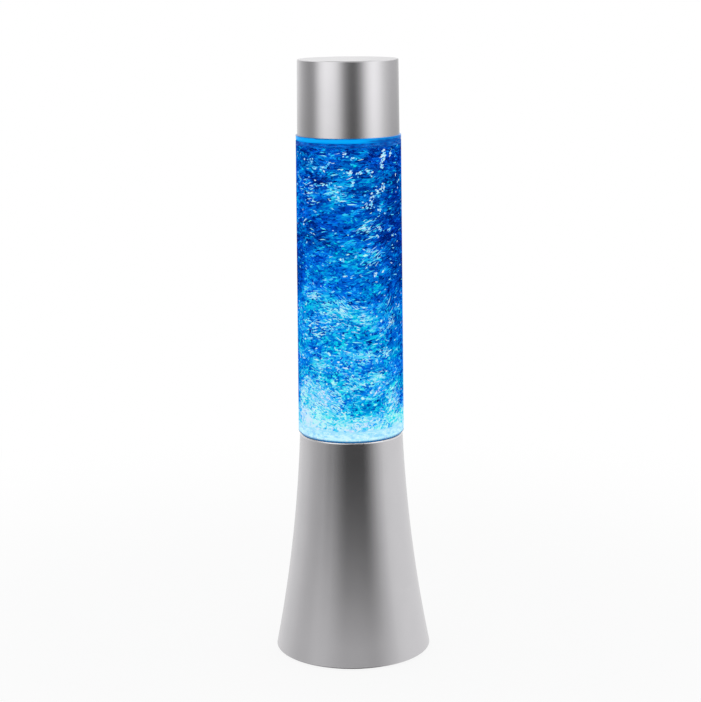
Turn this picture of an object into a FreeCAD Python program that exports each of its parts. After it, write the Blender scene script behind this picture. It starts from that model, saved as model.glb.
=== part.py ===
import FreeCAD, Part
import Sketcher
import math
import os
import random
import re

# A battery glitter lamp: a flared silver base, a clear tube of liquid with loose
# flakes, and a silver cap. Millimetres, +Z up, feet on z = 0, lamp axis on Z.

document = FreeCAD.newDocument("GlitterLamp")
sheet = document.addObject("Spreadsheet::Sheet", "Sizes")

SIZES = [
    # Whole lamp
    ("lamp_height", 400, "top of the cap"),
    ("base_height", 151.6, "top of the base's rim"),
    ("cap_foot", 351.2, "lower edge of the cap"),
    # Base shell
    ("shell_radius", 52.7, "outer radius at the lower edge"),
    ("shell_lip", 1.0, "height of the lower edge above the table"),
    ("rim_radius", 34.6, "outer radius at the rim"),
    ("flare_radius", 985.7, "radius of the hollow curve of the side"),
    ("shell_wall", 2.2, "wall of the shell"),
    ("rim_opening", 30.0, "radius of the hole in the rim"),
    ("rim_thickness", 3.0, "thickness of the rim's flange"),
    ("rim_round", 1.0, "rounding of the rim"),
    ("lip_round", 0.6, "rounding of the lower edge"),
    ("boss_circle", 43.0, "radius of the circle of screw bosses and feet"),
    ("boss_radius", 3.4, "radius of a screw boss"),
    ("boss_foot", 9.0, "lower end of a screw boss"),
    ("boss_head", 34.0, "upper end of a screw boss"),
    ("boss_rib", 1.6, "thickness of the rib behind a boss"),
    ("rib_low_reach", 49.6, "rib's reach into the wall at its foot"),
    ("rib_high_reach", 45.4, "rib's reach into the wall at its head"),
    ("pilot_radius", 1.3, "radius of a pilot hole"),
    ("pilot_depth", 13.0, "depth of a pilot hole"),
    # Bottom plate with the battery well
    ("plate_radius", 49.3, "radius of the bottom plate"),
    ("plate_under", 3.0, "underside of the plate"),
    ("plate_over", 5.2, "inner side of the plate"),
    ("cell_axis", 13.3, "height of the cells' axes"),
    ("bay_radius", 7.6, "radius of a battery bay"),
    ("bay_pitch", 15.2, "distance from bay to bay"),
    ("bay_length", 60.0, "length of the bays"),
    ("bay_wall", 1.6, "wall of the battery well"),
    ("ledge_height", 5.3, "height of the door's ledge"),
    ("ledge_width", 0.9, "width of the door's ledge"),
    ("notch_width", 4.8, "width of a notch for a door tongue"),
    ("notch_head", 8.4, "upper end of a tongue notch"),
    ("latch_slot_width", 13.2, "width of the slot for the door's latch"),
    ("latch_slot_end", 37.0, "distance of the latch slot's far side from the axis"),
    ("slit_width", 3.6, "width of a slit for a contact tab"),
    ("slit_gap", 1.0, "thickness of a slit for a contact tab"),
    ("slit_place", 29.8, "distance of a slit from the middle of the bays"),
    ("cup_radius", 4.4, "radius of a screw cup on the plate"),
    ("head_bore", 3.1, "radius of the bore for a screw's head"),
    ("head_seat", 7.4, "height of the seat of a screw's head"),
    ("shank_bore", 1.7, "radius of the bore for a screw's shank"),
    ("post_x", 30.5, "place of a tower post across the bays"),
    ("post_y", 17.0, "place of a tower post along the bays"),
    ("post_radius", 3.2, "radius of a tower post"),
    ("post_head", 24.0, "top of a tower post"),
    ("post_rib", 1.6, "thickness of the rib from post to well"),
    ("post_rib_head", 19.0, "top of the rib from post to well"),
    ("post_pilot", 1.1, "radius of a post's pilot hole"),
    ("post_pilot_depth", 10.0, "depth of a post's pilot hole"),
    ("standoff_y", 18.0, "place of a board standoff along the bays"),
    ("standoff_radius", 2.4, "radius of a board standoff"),
    ("standoff_foot", 21.0, "lower end of a board standoff, inside the roof"),
    ("standoff_head", 25.5, "top of a board standoff"),
    ("standoff_pilot", 1.0, "radius of a standoff's pilot hole"),
    ("standoff_pilot_depth", 3.3, "depth of a standoff's pilot hole"),
    ("foot_recess", 4.6, "radius of a foot's recess"),
    ("foot_recess_depth", 0.8, "depth of a foot's recess"),
    ("switch_x", 34.0, "distance of the switch from the lamp's axis"),
    ("switch_slot_width", 5.0, "width of the switch slot"),
    ("switch_slot_length", 11.0, "length of the switch slot"),
    ("clip_near", 7.1, "near face of a clip that holds the switch"),
    ("clip_far", 8.5, "far face of a clip that holds the switch"),
    ("clip_width", 6.0, "width of a clip"),
    ("clip_head", 12.4, "top of a clip"),
    # Rubber feet and plate screws
    ("foot_radius", 4.5, "radius of a rubber foot"),
    ("foot_round", 0.7, "rounding of a rubber foot"),
    ("plate_screw_head", 2.8, "radius of a plate screw's head"),
    ("plate_screw_head_height", 1.8, "height of a plate screw's head"),
    ("plate_screw_shank", 1.25, "radius of a plate screw's shank"),
    ("plate_screw_length", 12.0, "length of a plate screw's shank"),
    ("recess_radius", 1.3, "radius of a screw's drive recess"),
    ("recess_depth", 0.9, "depth of a screw's drive recess"),
    # Cells, contacts and springs
    ("cell_radius", 7.25, "radius of a cell"),
    ("cell_body", 49.3, "length of a cell's can"),
    ("cell_length", 50.5, "length of a cell with its nub"),
    ("nub_radius", 2.75, "radius of a cell's nub"),
    ("nub_place", 28.8, "distance of a nub's end from the middle of the bays"),
    ("contact_sheet", 0.4, "thickness of the contact sheet"),
    ("contact_width", 10.0, "width of a contact"),
    ("contact_foot", 9.8, "lower edge of a contact"),
    ("contact_head", 19.4, "upper edge of a contact"),
    ("contact_room", 0.2, "gap round a contact in its recess"),
    ("tab_width", 3.0, "width of a contact's solder tab"),
    ("tab_head", 26.5, "top of a contact's solder tab"),
    ("dimple_radius", 2.0, "radius of the dimple that meets a nub"),
    ("spring_wire", 0.7, "wire of a battery spring"),
    ("spring_foot_radius", 5.0, "coil radius at the contact"),
    ("spring_head_radius", 3.2, "coil radius at the cell"),
    ("spring_turns", 3, "turns of a battery spring"),
    ("spring_end", 1.6, "axial length of the bend at each end"),
    # Battery door
    ("door_gap", 0.4, "gap round the door"),
    ("door_thickness", 2.0, "thickness of the door"),
    ("door_round", 1.0, "rounding of the door's corners"),
    ("tongue_width", 4.0, "width of a tongue"),
    ("tongue_neck", 1.5, "thickness of a tongue's neck"),
    ("tongue_foot", 5.6, "lower face of a tongue"),
    ("tongue_head", 6.8, "upper face of a tongue"),
    ("tongue_reach", 2.8, "reach of a tongue past the door's edge"),
    ("latch_width", 12.0, "width of the latch"),
    ("latch_near", 32.6, "near side of the latch"),
    ("latch_far", 36.2, "far side of the latch"),
    ("latch_sheet", 1.2, "thickness of the latch's legs"),
    ("latch_head", 10.0, "top of the latch"),
    ("door_rib", 1.2, "thickness of a door rib"),
    ("door_rib_length", 52.0, "length of a door rib"),
    ("door_rib_head", 7.4, "top of a door rib"),
    ("grip_width", 16.0, "length of a grip groove"),
    ("grip_groove", 1.0, "width of a grip groove"),
    ("grip_depth", 0.5, "depth of a grip groove"),
    ("grip_pitch", 2.4, "distance from grip groove to grip groove"),
    ("grip_place", 26.0, "distance of the first grip groove from the middle"),
    # Switch
    ("switch_width", 8.0, "width of the switch body"),
    ("switch_length", 14.0, "length of the switch body"),
    ("switch_top", 11.2, "top of the switch body"),
    ("stem_slot_width", 2.6, "width of the switch body's slot"),
    ("stem_slot_length", 8.4, "length of the switch body's slot"),
    ("stem_slot_top", 8.6, "top of the switch body's slot"),
    ("knob_width", 4.4, "width of the knob"),
    ("knob_length", 6.4, "length of the knob"),
    ("knob_under", 1.6, "underside of the knob"),
    ("knob_over", 4.6, "upper side of the knob"),
    ("knob_travel", 4.0, "travel of the knob"),
    ("knob_round", 0.5, "rounding of the knob"),
    ("stem_width", 2.0, "width of the knob's stem"),
    ("stem_length", 3.6, "length of the knob's stem"),
    ("stem_top", 8.2, "top of the knob's stem"),
    ("pin_pitch", 3.8, "distance from switch pin to switch pin"),
    ("pin_width", 1.6, "width of a switch pin"),
    ("pin_sheet", 0.5, "thickness of a switch pin"),
    ("pin_top", 14.4, "top of a switch pin"),
    # Control board
    ("board_width", 36.0, "width of the control board"),
    ("board_length", 42.0, "length of the control board"),
    ("board_thickness", 1.6, "thickness of a board"),
    ("small_head", 1.9, "radius of a small screw's head"),
    ("small_head_height", 1.3, "height of a small screw's head"),
    ("small_shank", 0.95, "radius of a small screw's shank"),
    ("board_screw_length", 4.8, "length of a board screw's shank"),
    # Tower
    ("tower_ring_inner", 28.5, "inner radius of the tower's foot"),
    ("tower_ring_outer", 37.5, "outer radius of the tower's foot"),
    ("tower_ring_head", 26.4, "top of the tower's foot"),
    ("tower_low_radius", 30.5, "outer radius of the tower's wall at its foot"),
    ("tower_high_radius", 26.0, "outer radius of the tower's wall at its head"),
    ("tower_wall", 2.0, "wall of the tower"),
    ("deck_under", 112.0, "underside of the motor deck"),
    ("deck_over", 114.4, "upper side of the motor deck"),
    ("deck_bore", 3.3, "radius of the deck's middle hole"),
    ("arch_low_width", 40.0, "width of an arch at its foot"),
    ("arch_high_width", 22.0, "width of an arch at its head"),
    ("arch_head", 101.0, "head of an arch"),
    ("window_low_width", 26.0, "width of a side window at its foot"),
    ("window_high_width", 18.0, "width of a side window at its head"),
    ("window_foot", 36.0, "foot of a side window"),
    ("window_head", 101.0, "head of a side window"),
    ("tower_hole", 1.4, "radius of a hole for a tower screw"),
    ("lead_slot_width", 10.0, "width of the deck's slot for leads"),
    ("lead_slot_near", 17.8, "near side of the deck's slot for leads"),
    ("lead_slot_far", 21.2, "far side of the deck's slot for leads"),
    ("tower_screw_length", 9.0, "length of a tower screw's shank"),
    # Motor and drive
    ("motor_radius", 12.2, "radius of the motor can"),
    ("motor_foot", 99.6, "lower end of the motor can"),
    ("motor_sheet", 1.0, "sheet of the motor can"),
    ("motor_top_sheet", 1.2, "thickness of the motor can's top"),
    ("motor_nose", 3.1, "radius of the motor's nose"),
    ("motor_nose_top", 113.6, "top of the motor's nose"),
    ("motor_screw_place", 6.5, "distance of a motor screw from the axis"),
    ("bush_radius", 2.0, "outer radius of the bush"),
    ("bush_foot", 110.2, "lower end of the bush"),
    ("shaft_radius", 1.0, "radius of the motor shaft"),
    ("shaft_play", 0.03, "radial play of the shaft in its bearings"),
    ("shaft_foot", 99.2, "lower end of the motor shaft"),
    ("end_cap_radius", 11.15, "radius of the motor's end cap"),
    ("end_cap_top", 101.6, "inner face of the motor's end cap"),
    ("end_cap_foot", 99.8, "outer face of the motor's end cap"),
    ("tail_radius", 2.6, "radius of the end cap's bearing nub"),
    ("tail_foot", 98.2, "lower end of the end cap's bearing nub"),
    ("motor_round", 0.8, "rounding of the motor can's shoulder"),
    ("terminal_place", 8.0, "distance of a motor terminal from the axis"),
    ("terminal_width", 2.2, "width of a motor terminal"),
    ("terminal_sheet", 0.5, "thickness of a motor terminal"),
    ("terminal_foot", 95.6, "lower end of a motor terminal"),
    ("field_inner", 9.2, "inner radius of the motor's magnets"),
    ("field_outer", 11.15, "outer radius of the motor's magnets"),
    ("field_foot", 102.0, "lower end of the motor's magnets"),
    ("field_head", 110.4, "upper end of the motor's magnets"),
    ("field_arc", 140, "arc of one of the motor's magnets"),
    ("armature_radius", 8.7, "radius of the armature"),
    ("armature_foot", 102.6, "lower end of the armature"),
    ("armature_head", 109.8, "upper end of the armature"),
    ("armature_slot", 1.6, "width of an armature slot"),
    ("armature_core", 3.0, "radius of the armature's core"),
    ("motor_screw_length", 4.0, "length of a motor screw's shank"),
    ("carrier_radius", 14.0, "radius of the magnet carrier"),
    ("carrier_foot", 123.5, "underside of the magnet carrier's disc"),
    ("carrier_head", 129.5, "top of the magnet carrier"),
    ("carrier_hub", 4.0, "radius of the magnet carrier's hub"),
    ("carrier_hub_foot", 119.0, "lower end of the magnet carrier's hub"),
    ("magnet_place", 9.0, "distance of a coupling magnet from the axis"),
    ("magnet_radius", 3.95, "radius of a coupling magnet"),
    ("magnet_pocket", 4.0, "radius of a coupling magnet's pocket"),
    ("magnet_height", 4.0, "height of a coupling magnet"),
    # Light
    ("light_board_inner", 16.5, "inner radius of the light board"),
    ("light_board_outer", 25.5, "outer radius of the light board"),
    ("diode_circle", 21.0, "radius of the circle of diodes"),
    ("diode_radius", 2.5, "radius of a diode"),
    ("diode_flange", 2.9, "radius of a diode's flange"),
    ("diode_flange_height", 1.0, "height of a diode's flange"),
    ("diode_shoulder", 122.0, "height where a diode's dome starts"),
    ("diode_hole", 3.2, "radius of the reflector's hole for a diode"),
    ("reflector_inner", 16.4, "radius of the reflector's middle hole"),
    ("reflector_low_radius", 27.2, "outer radius of the reflector's floor"),
    ("reflector_high_radius", 31.4, "outer radius of the reflector's rim"),
    ("reflector_head", 131.0, "top of the reflector"),
    ("reflector_wall", 1.2, "wall of the reflector"),
    # Tube, its cup and what holds it
    ("tube_foot", 152.6, "lower end of the tube"),
    ("tube_head", 348.0, "upper end of the tube"),
    ("tube_low_radius", 35.5, "outer radius at the lower end"),
    ("tube_high_radius", 34.5, "outer radius at the upper end"),
    ("tube_wall", 2.0, "wall of the tube"),
    ("gasket_inner", 30.2, "inner radius of the seat gasket"),
    ("gasket_outer", 34.3, "outer radius of the seat gasket"),
    ("sump_foot", 132.0, "underside of the tube cup"),
    ("sump_floor", 134.6, "inner floor of the tube cup"),
    ("sump_radius", 29.6, "outer radius of the tube cup's sump"),
    ("sump_bore", 27.2, "inner radius of the tube cup's sump"),
    ("flange_radius", 33.3, "radius of the tube cup's flange"),
    ("flange_head", 157.4, "top of the tube cup's flange"),
    ("seal_groove_floor", 31.6, "radius of the cup seal's groove floor"),
    ("seal_groove_width", 2.0, "width of the cup seal's groove"),
    ("cup_groove_foot", 154.0, "lower side of the cup seal's groove"),
    ("pin_boss_radius", 3.0, "radius of the boss that holds the stirrer pin"),
    ("pin_boss_head", 136.5, "top of the boss that holds the stirrer pin"),
    ("pin_radius", 1.0, "radius of the stirrer pin"),
    ("pin_foot", 133.2, "lower end of the stirrer pin"),
    ("pin_head", 148.0, "upper end of the stirrer pin"),
    ("seal_room", 0.1, "gap above and below the cup seal in its groove"),
    ("seal_reach", 1.8, "reach of the cup seal from its groove's floor to the wall"),
    ("seal_lip", 0.5, "chamfer of the cup seal's lip"),
    ("lock_outer", 32.2, "outer radius of the lock ring"),
    ("lock_inner", 29.7, "inner radius of the lock ring"),
    ("lock_foot", 139.6, "lower end of the lock ring"),
    ("lock_notch_width", 5.0, "width of a spanner notch"),
    ("lock_notch_depth", 2.4, "depth of a spanner notch"),
    # Stirrer
    ("stirrer_foot", 137.0, "underside of the stirrer"),
    ("stirrer_disc_head", 141.0, "top of the stirrer's disc"),
    ("stirrer_radius", 13.2, "radius of the stirrer"),
    ("stirrer_hub", 3.4, "radius of the stirrer's hub"),
    ("stirrer_head", 146.0, "top of the stirrer's blades and hub"),
    ("stirrer_bore", 1.05, "radius of the stirrer's bore"),
    ("blade_thickness", 1.4, "thickness of a blade"),
    ("blade_outer_curve", 9.0, "radius of a blade's hollow side"),
    ("blade_inner_curve", 10.4, "radius of a blade's round side"),
    ("stirrer_magnet_height", 3.4, "height of a stirrer magnet"),
    ("retainer_radius", 2.6, "radius of the pin's retainer"),
    ("retainer_foot", 146.4, "underside of the pin's retainer"),
    ("retainer_head", 147.4, "top of the pin's retainer"),
    # Liquid and flakes
    ("liquid_gap", 0.05, "film between liquid and walls"),
    ("stirrer_room_radius", 15.0, "radius of the room in which the stirrer turns"),
    ("stirrer_room_head", 149.0, "top of the room in which the stirrer turns"),
    ("flake_radius", 1.5, "corner radius of a flake"),
    ("flake_thickness", 0.3, "thickness of a flake"),
    ("flake_count", 120, "number of flakes"),
    ("flake_spacing", 4.0, "least distance between two flakes"),
    # Top plug and its closure
    ("plug_foot", 345.0, "underside of the top plug"),
    ("plug_radius", 32.35, "radius of the top plug's spigot"),
    ("plug_flange_radius", 34.5, "radius of the top plug's rim"),
    ("plug_rim_foot", 348.8, "underside of the top plug's rim"),
    ("plug_seal_inner", 32.6, "inner radius of the top plug's seal"),
    ("plug_seal_outer", 34.3, "outer radius of the top plug's seal"),
    ("collar_radius", 29.4, "outer radius of the collar"),
    ("collar_bore", 27.0, "inner radius of the collar"),
    ("collar_head", 369.0, "top of the collar"),
    ("fill_bore", 6.0, "radius of the filling hole"),
    ("fill_shank", 5.9, "radius of the fill plug's shank"),
    ("fill_shank_foot", 346.0, "lower end of the fill plug"),
    ("fill_head_radius", 8.0, "radius of the fill plug's head"),
    ("fill_head_top", 356.0, "top of the fill plug"),
    ("washer_inner", 6.2, "inner radius of the fill washer"),
    ("washer_thickness", 1.0, "thickness of the fill washer"),
    ("coin_slot_width", 1.8, "width of the coin slot"),
    ("coin_slot_depth", 1.8, "depth of the coin slot"),
    # Cap
    ("cap_low_radius", 33.5, "outer radius of the cap at its foot"),
    ("cap_high_radius", 33.0, "outer radius of the cap at its head"),
    ("cap_top", 2.0, "thickness of the cap's top"),
    ("cap_bore", 31.7, "bore of the cap round the sleeve"),
    ("cap_upper_bore", 30.6, "bore of the cap above the sleeve"),
    ("cap_step", 370.0, "height of the step that stops the sleeve"),
    ("cap_round", 0.7, "rounding of the cap's top edge"),
    ("sleeve_foot", 352.6, "lower end of the sleeve"),
    ("sleeve_bore", 29.7, "bore of the sleeve"),
    ("sleeve_radius", 30.7, "outer radius of the sleeve's wall"),
    ("sleeve_rib_reach", 31.6, "radius to the sleeve's ribs"),
    ("sleeve_rib_width", 1.6, "width of a sleeve rib"),
    ("sleeve_ribs", 12, "number of sleeve ribs"),
    # Leads
    ("lead_radius", 0.6, "radius of a lead"),
]

for number, (alias, value, words) in enumerate(SIZES, start=1):
    sheet.set(f"A{number}", words)
    sheet.set(f"B{number}", str(value))
    sheet.setAlias(f"B{number}", alias)
document.recompute()
ALIASES = {alias for alias, value, words in SIZES}


# Sheet, sketches and features

def bound(text):
    """The expression with the sheet's name before each of its aliases."""
    return re.sub(r"[a-z_]+", lambda word: "Sizes." + word.group() if word.group() in ALIASES
                  else word.group(), text)


def number_of(text):
    """The value of an expression on the sheet."""
    return float(sheet.evalExpression(bound(text)))


def new_body(label):
    """A sub-part, under the name of its file."""
    body = document.addObject("PartDesign::Body", label)
    body.Label = label
    body.AllowCompound = True
    return body


def origin_part(body, role):
    """A plane or an axis of the body's own origin."""
    return next(item for item in body.Origin.OriginFeatures if item.Role == role)


def new_sketch(body, name, plane, x="0", y="0", z="0"):
    """An empty sketch on an origin plane, moved by x, y and z along the sketch's own axes."""
    sketch = body.newObject("Sketcher::SketchObject", name)
    sketch.AttachmentSupport = [(origin_part(body, plane), "")]
    sketch.MapMode = "FlatFace"
    for letter, text in zip("xyz", (x, y, z)):
        if text != "0":
            sketch.setExpression(f"AttachmentOffset.Base.{letter}", bound(text))
    return sketch


def pin_down(sketch, curve, end, x, y):
    """Fixes one end or centre of a curve at x and y, both expressions."""
    at_x, at_y = number_of(x), number_of(y)
    if at_x == 0 and at_y == 0:
        sketch.addConstraint(Sketcher.Constraint("Coincident", curve, end, -1, 1))
        return
    for kind, text, value, axis in (("DistanceX", x, at_x, -2), ("DistanceY", y, at_y, -1)):
        if value == 0:
            sketch.addConstraint(Sketcher.Constraint("PointOnObject", curve, end, axis))
        else:
            made = sketch.addConstraint(Sketcher.Constraint(kind, -1, 1, curve, end, value))
            sketch.setExpression(f"Constraints[{made}]", bound(text))


def add_outline(sketch, corners, arcs=None):
    """A closed outline through the corners, each a pair of expressions.

    arcs gives, for a corner's number, the radius of the arc from it to the next corner:
    positive where the centre is on the left hand of that walk, negative on the right.
    """
    arcs = arcs or {}
    first = sketch.GeometryCount
    places = [FreeCAD.Vector(number_of(x), number_of(y), 0) for x, y in corners]
    count = len(corners)
    ends = []
    for index in range(count):
        start, stop = places[index], places[(index + 1) % count]
        if index not in arcs:
            sketch.addGeometry(Part.LineSegment(start, stop), False)
            ends.append((1, 2))
            continue
        radius = number_of(arcs[index])
        chord = stop - start
        left = FreeCAD.Vector(-chord.y, chord.x, 0).normalize()
        rise = math.sqrt(radius ** 2 - (chord.Length / 2) ** 2)
        centre = (start + stop) * 0.5 + left * math.copysign(rise, radius)
        low, high = (start, stop) if radius > 0 else (stop, start)
        low_angle = math.atan2(low.y - centre.y, low.x - centre.x)
        high_angle = math.atan2(high.y - centre.y, high.x - centre.x)
        circle = Part.Circle(centre, FreeCAD.Vector(0, 0, 1), abs(radius))
        sketch.addGeometry(Part.ArcOfCircle(circle, low_angle, high_angle), False)
        ends.append((1, 2) if radius > 0 else (2, 1))
    for index in range(count):
        following = (index + 1) % count
        sketch.addConstraint(Sketcher.Constraint(
            "Coincident", first + index, ends[index][1], first + following, ends[following][0]))
    for index, (x, y) in enumerate(corners):
        pin_down(sketch, first + index, ends[index][0], x, y)
        if index in arcs:
            made = sketch.addConstraint(
                Sketcher.Constraint("Radius", first + index, abs(number_of(arcs[index]))))
            sketch.setExpression(f"Constraints[{made}]", bound(f"abs({arcs[index]})"))


def add_circle(sketch, radius, x="0", y="0"):
    """A circle about x and y."""
    centre = FreeCAD.Vector(number_of(x), number_of(y), 0)
    circle = Part.Circle(centre, FreeCAD.Vector(0, 0, 1), number_of(radius))
    curve = sketch.addGeometry(circle, False)
    pin_down(sketch, curve, 3, x, y)
    made = sketch.addConstraint(Sketcher.Constraint("Radius", curve, number_of(radius)))
    sketch.setExpression(f"Constraints[{made}]", bound(radius))


def add_rectangle(sketch, width, height, x="0", y="0"):
    """A rectangle of width by height about x and y."""
    add_outline(sketch, [
        (f"({x}) - ({width}) / 2", f"({y}) - ({height}) / 2"),
        (f"({x}) + ({width}) / 2", f"({y}) - ({height}) / 2"),
        (f"({x}) + ({width}) / 2", f"({y}) + ({height}) / 2"),
        (f"({x}) - ({width}) / 2", f"({y}) + ({height}) / 2"),
    ])


def add_feature(body, kind, name, sketch, grows, length=None, upward=True, both_ways=False,
                angle="360"):
    """A sketch-based feature, with its direction checked by the body's volume."""
    before = body.Shape.Volume if not body.Shape.isNull() else 0.0
    feature = body.newObject("PartDesign::" + kind, name)
    feature.Profile = sketch
    if length is None:
        feature.ReferenceAxis = (sketch, ["V_Axis"])
        feature.setExpression("Angle", bound(angle))
    else:
        feature.setExpression("Length", bound(length))
        feature.SideType = "Symmetric" if both_ways else "One side"
        feature.Reversed = (upward != grows)
    document.recompute()
    change = body.Shape.Volume - before
    if (change <= 1e-6) == grows or abs(change) <= 1e-6:
        raise RuntimeError(f"{body.Label}: {name} changes the volume by {change:.4f}")
    return feature


def revolve(body, name, corners, arcs=None, x="0", y="0", angle="360"):
    """An outline in radius and height, turned about the vertical through x and y."""
    depth = f"-({y})" if y != "0" else "0"
    sketch = new_sketch(body, name + "_outline", "XZ_Plane", x=x, z=depth)
    add_outline(sketch, corners, arcs)
    return add_feature(body, "Revolution", name, sketch, True, angle=angle)


def pad(body, name, sketch, length, upward=True, both_ways=False):
    return add_feature(body, "Pad", name, sketch, True, length, upward, both_ways)


def pocket(body, name, sketch, length, upward=True, both_ways=False):
    return add_feature(body, "Pocket", name, sketch, False, length, upward, both_ways)


def pad_circle(body, name, radius, foot, head, x="0", y="0"):
    sketch = new_sketch(body, name + "_outline", "XY_Plane", z=foot)
    add_circle(sketch, radius, x, y)
    return pad(body, name, sketch, f"({head}) - ({foot})")


def pocket_circle(body, name, radius, foot, head, x="0", y="0"):
    sketch = new_sketch(body, name + "_outline", "XY_Plane", z=foot)
    add_circle(sketch, radius, x, y)
    return pocket(body, name, sketch, f"({head}) - ({foot})")


def pad_box(body, name, width, depth, foot, head, x="0", y="0"):
    sketch = new_sketch(body, name + "_outline", "XY_Plane", z=foot)
    add_rectangle(sketch, width, depth, x, y)
    return pad(body, name, sketch, f"({head}) - ({foot})")


def pocket_box(body, name, width, depth, foot, head, x="0", y="0"):
    sketch = new_sketch(body, name + "_outline", "XY_Plane", z=foot)
    add_rectangle(sketch, width, depth, x, y)
    return pocket(body, name, sketch, f"({head}) - ({foot})")


def ring_of(body, name, features, count):
    """The features repeated round the body's Z axis."""
    pattern = body.newObject("PartDesign::PolarPattern", name)
    pattern.Originals = features
    pattern.Axis = (origin_part(body, "Z_Axis"), [""])
    pattern.Angle = 360
    if isinstance(count, int):
        pattern.Occurrences = count
    else:
        pattern.setExpression("Occurrences", bound(count))
    body.Tip = pattern
    document.recompute()
    return pattern


def mirrored(body, name, features, plane):
    """The features mirrored in one of the body's origin planes."""
    mirror = body.newObject("PartDesign::Mirrored", name)
    mirror.Originals = features
    mirror.MirrorPlane = (origin_part(body, plane), [""])
    body.Tip = mirror
    document.recompute()
    return mirror


def in_corners(body, name, features):
    """The features mirrored in both upright planes, so that all four corners have them."""
    both = body.newObject("PartDesign::MultiTransform", name)
    both.Originals = features
    steps = []
    for plane in ("YZ_Plane", "XZ_Plane"):
        step = body.newObject("PartDesign::Mirrored", name + "_" + plane[:2].lower())
        step.MirrorPlane = (origin_part(body, plane), [""])
        steps.append(step)
    both.Transformations = steps
    body.Tip = both
    document.recompute()
    return both


def round_edges(body, name, radius, wanted):
    """Rounds the edges of the tip that the test wanted picks."""
    base = body.Tip
    edges = [f"Edge{number}" for number, edge in enumerate(base.Shape.Edges, start=1)
             if wanted(edge)]
    fillet = body.newObject("PartDesign::Fillet", name)
    fillet.Base = (base, edges)
    fillet.setExpression("Radius", bound(radius))
    document.recompute()
    return fillet


def ring_edge(radius, height):
    """A test for the round edge of that radius at that height."""
    def test(edge):
        box = edge.BoundBox
        return (box.ZLength < 0.01 and abs(box.ZMax - number_of(height)) < 0.01
                and abs(box.XMax - number_of(radius)) < 0.01)
    return test


def upright_edge(edge):
    """A test for straight upright edges."""
    box = edge.BoundBox
    return box.XLength < 0.01 and box.YLength < 0.01


def place_turned(body, degrees):
    """Turns the finished sub-part about the lamp's axis."""
    body.Placement = FreeCAD.Placement(
        FreeCAD.Vector(), FreeCAD.Rotation(FreeCAD.Vector(0, 0, 1), degrees))


# Base shell: one flared moulding, open below, with a flange at its rim. Four screw
# bosses stand on its wall, each on a rib.

base_shell = new_body("base_shell")
revolve(base_shell, "wall", [
    ("shell_radius", "shell_lip"),
    ("rim_radius", "base_height"),
    ("rim_opening", "base_height"),
    ("rim_opening", "base_height - rim_thickness"),
    ("rim_radius - shell_wall", "base_height - rim_thickness"),
    ("shell_radius - shell_wall", "shell_lip"),
], arcs={0: "-flare_radius", 4: "flare_radius + shell_wall"})
round_edges(base_shell, "rim_rounding", "rim_round", ring_edge("rim_radius", "base_height"))
round_edges(base_shell, "lip_rounding", "lip_round", ring_edge("shell_radius", "shell_lip"))
boss = pad_circle(base_shell, "boss", "boss_radius", "boss_foot", "boss_head", x="boss_circle")
rib_outline = new_sketch(base_shell, "rib_outline", "XZ_Plane")
add_outline(rib_outline, [
    ("boss_circle", "boss_foot + 2"),
    ("rib_low_reach", "boss_foot + 2"),
    ("rib_high_reach", "boss_head"),
    ("boss_circle", "boss_head"),
])
rib = pad(base_shell, "rib", rib_outline, "boss_rib", both_ways=True)
pilot = pocket_circle(base_shell, "pilot", "pilot_radius", "boss_foot",
                      "boss_foot + pilot_depth", x="boss_circle")
ring_of(base_shell, "bosses", [boss, rib, pilot], 4)
place_turned(base_shell, 45)


# Bottom plate: the moulded underside. Its battery well has three half-round bays, a
# ledge and notches for the door, and round it stand screw cups, posts and clips.

BAY_HALF = "(bay_pitch + bay_radius)"
WELL_HALF = "(bay_pitch + bay_radius + bay_wall)"
OPENING_HALF = "(bay_pitch + bay_radius + ledge_width)"
BAY_PLACES = ("-bay_pitch", "0", "bay_pitch")
DIAGONAL = "boss_circle * sqrt(0.5)"

bottom_plate = new_body("bottom_plate")
pad_circle(bottom_plate, "disc", "plate_radius", "plate_under", "plate_over")
pad_box(bottom_plate, "well", f"2 * {WELL_HALF}", "bay_length + 2 * bay_wall",
        "plate_under", "cell_axis")
for number, place in enumerate(BAY_PLACES):
    arch = new_sketch(bottom_plate, f"roof_outline_{number}", "XZ_Plane")
    add_circle(arch, "bay_radius + bay_wall", place, "cell_axis")
    pad(bottom_plate, f"roof_{number}", arch, "bay_length + 2 * bay_wall", both_ways=True)
standoff = pad_circle(bottom_plate, "standoff", "standoff_radius", "standoff_foot",
                      "standoff_head", x="bay_pitch", y="standoff_y")
standoff_hole = pocket_circle(bottom_plate, "standoff_hole", "standoff_pilot",
                              "standoff_head - standoff_pilot_depth", "standoff_head",
                              x="bay_pitch", y="standoff_y")
post = pad_circle(bottom_plate, "post", "post_radius", "plate_over", "post_head",
                  x="post_x", y="post_y")
post_web = pad_box(bottom_plate, "post_web", f"post_x - {WELL_HALF} + 1", "post_rib",
                   "plate_over", "post_rib_head", x=f"(post_x + {WELL_HALF} - 1) / 2",
                   y="post_y")
post_hole = pocket_circle(bottom_plate, "post_hole", "post_pilot",
                          "post_head - post_pilot_depth", "post_head", x="post_x", y="post_y")
cup = pad_circle(bottom_plate, "cup", "cup_radius", "plate_under", "boss_foot",
                 x=DIAGONAL, y=DIAGONAL)
cup_bore = pocket_circle(bottom_plate, "cup_bore", "head_bore", "plate_under", "head_seat",
                         x=DIAGONAL, y=DIAGONAL)
cup_hole = pocket_circle(bottom_plate, "cup_hole", "shank_bore", "head_seat", "boss_foot",
                         x=DIAGONAL, y=DIAGONAL)
in_corners(bottom_plate, "corner_features", [
    standoff, standoff_hole, post, post_web, post_hole, cup, cup_bore, cup_hole])
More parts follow.
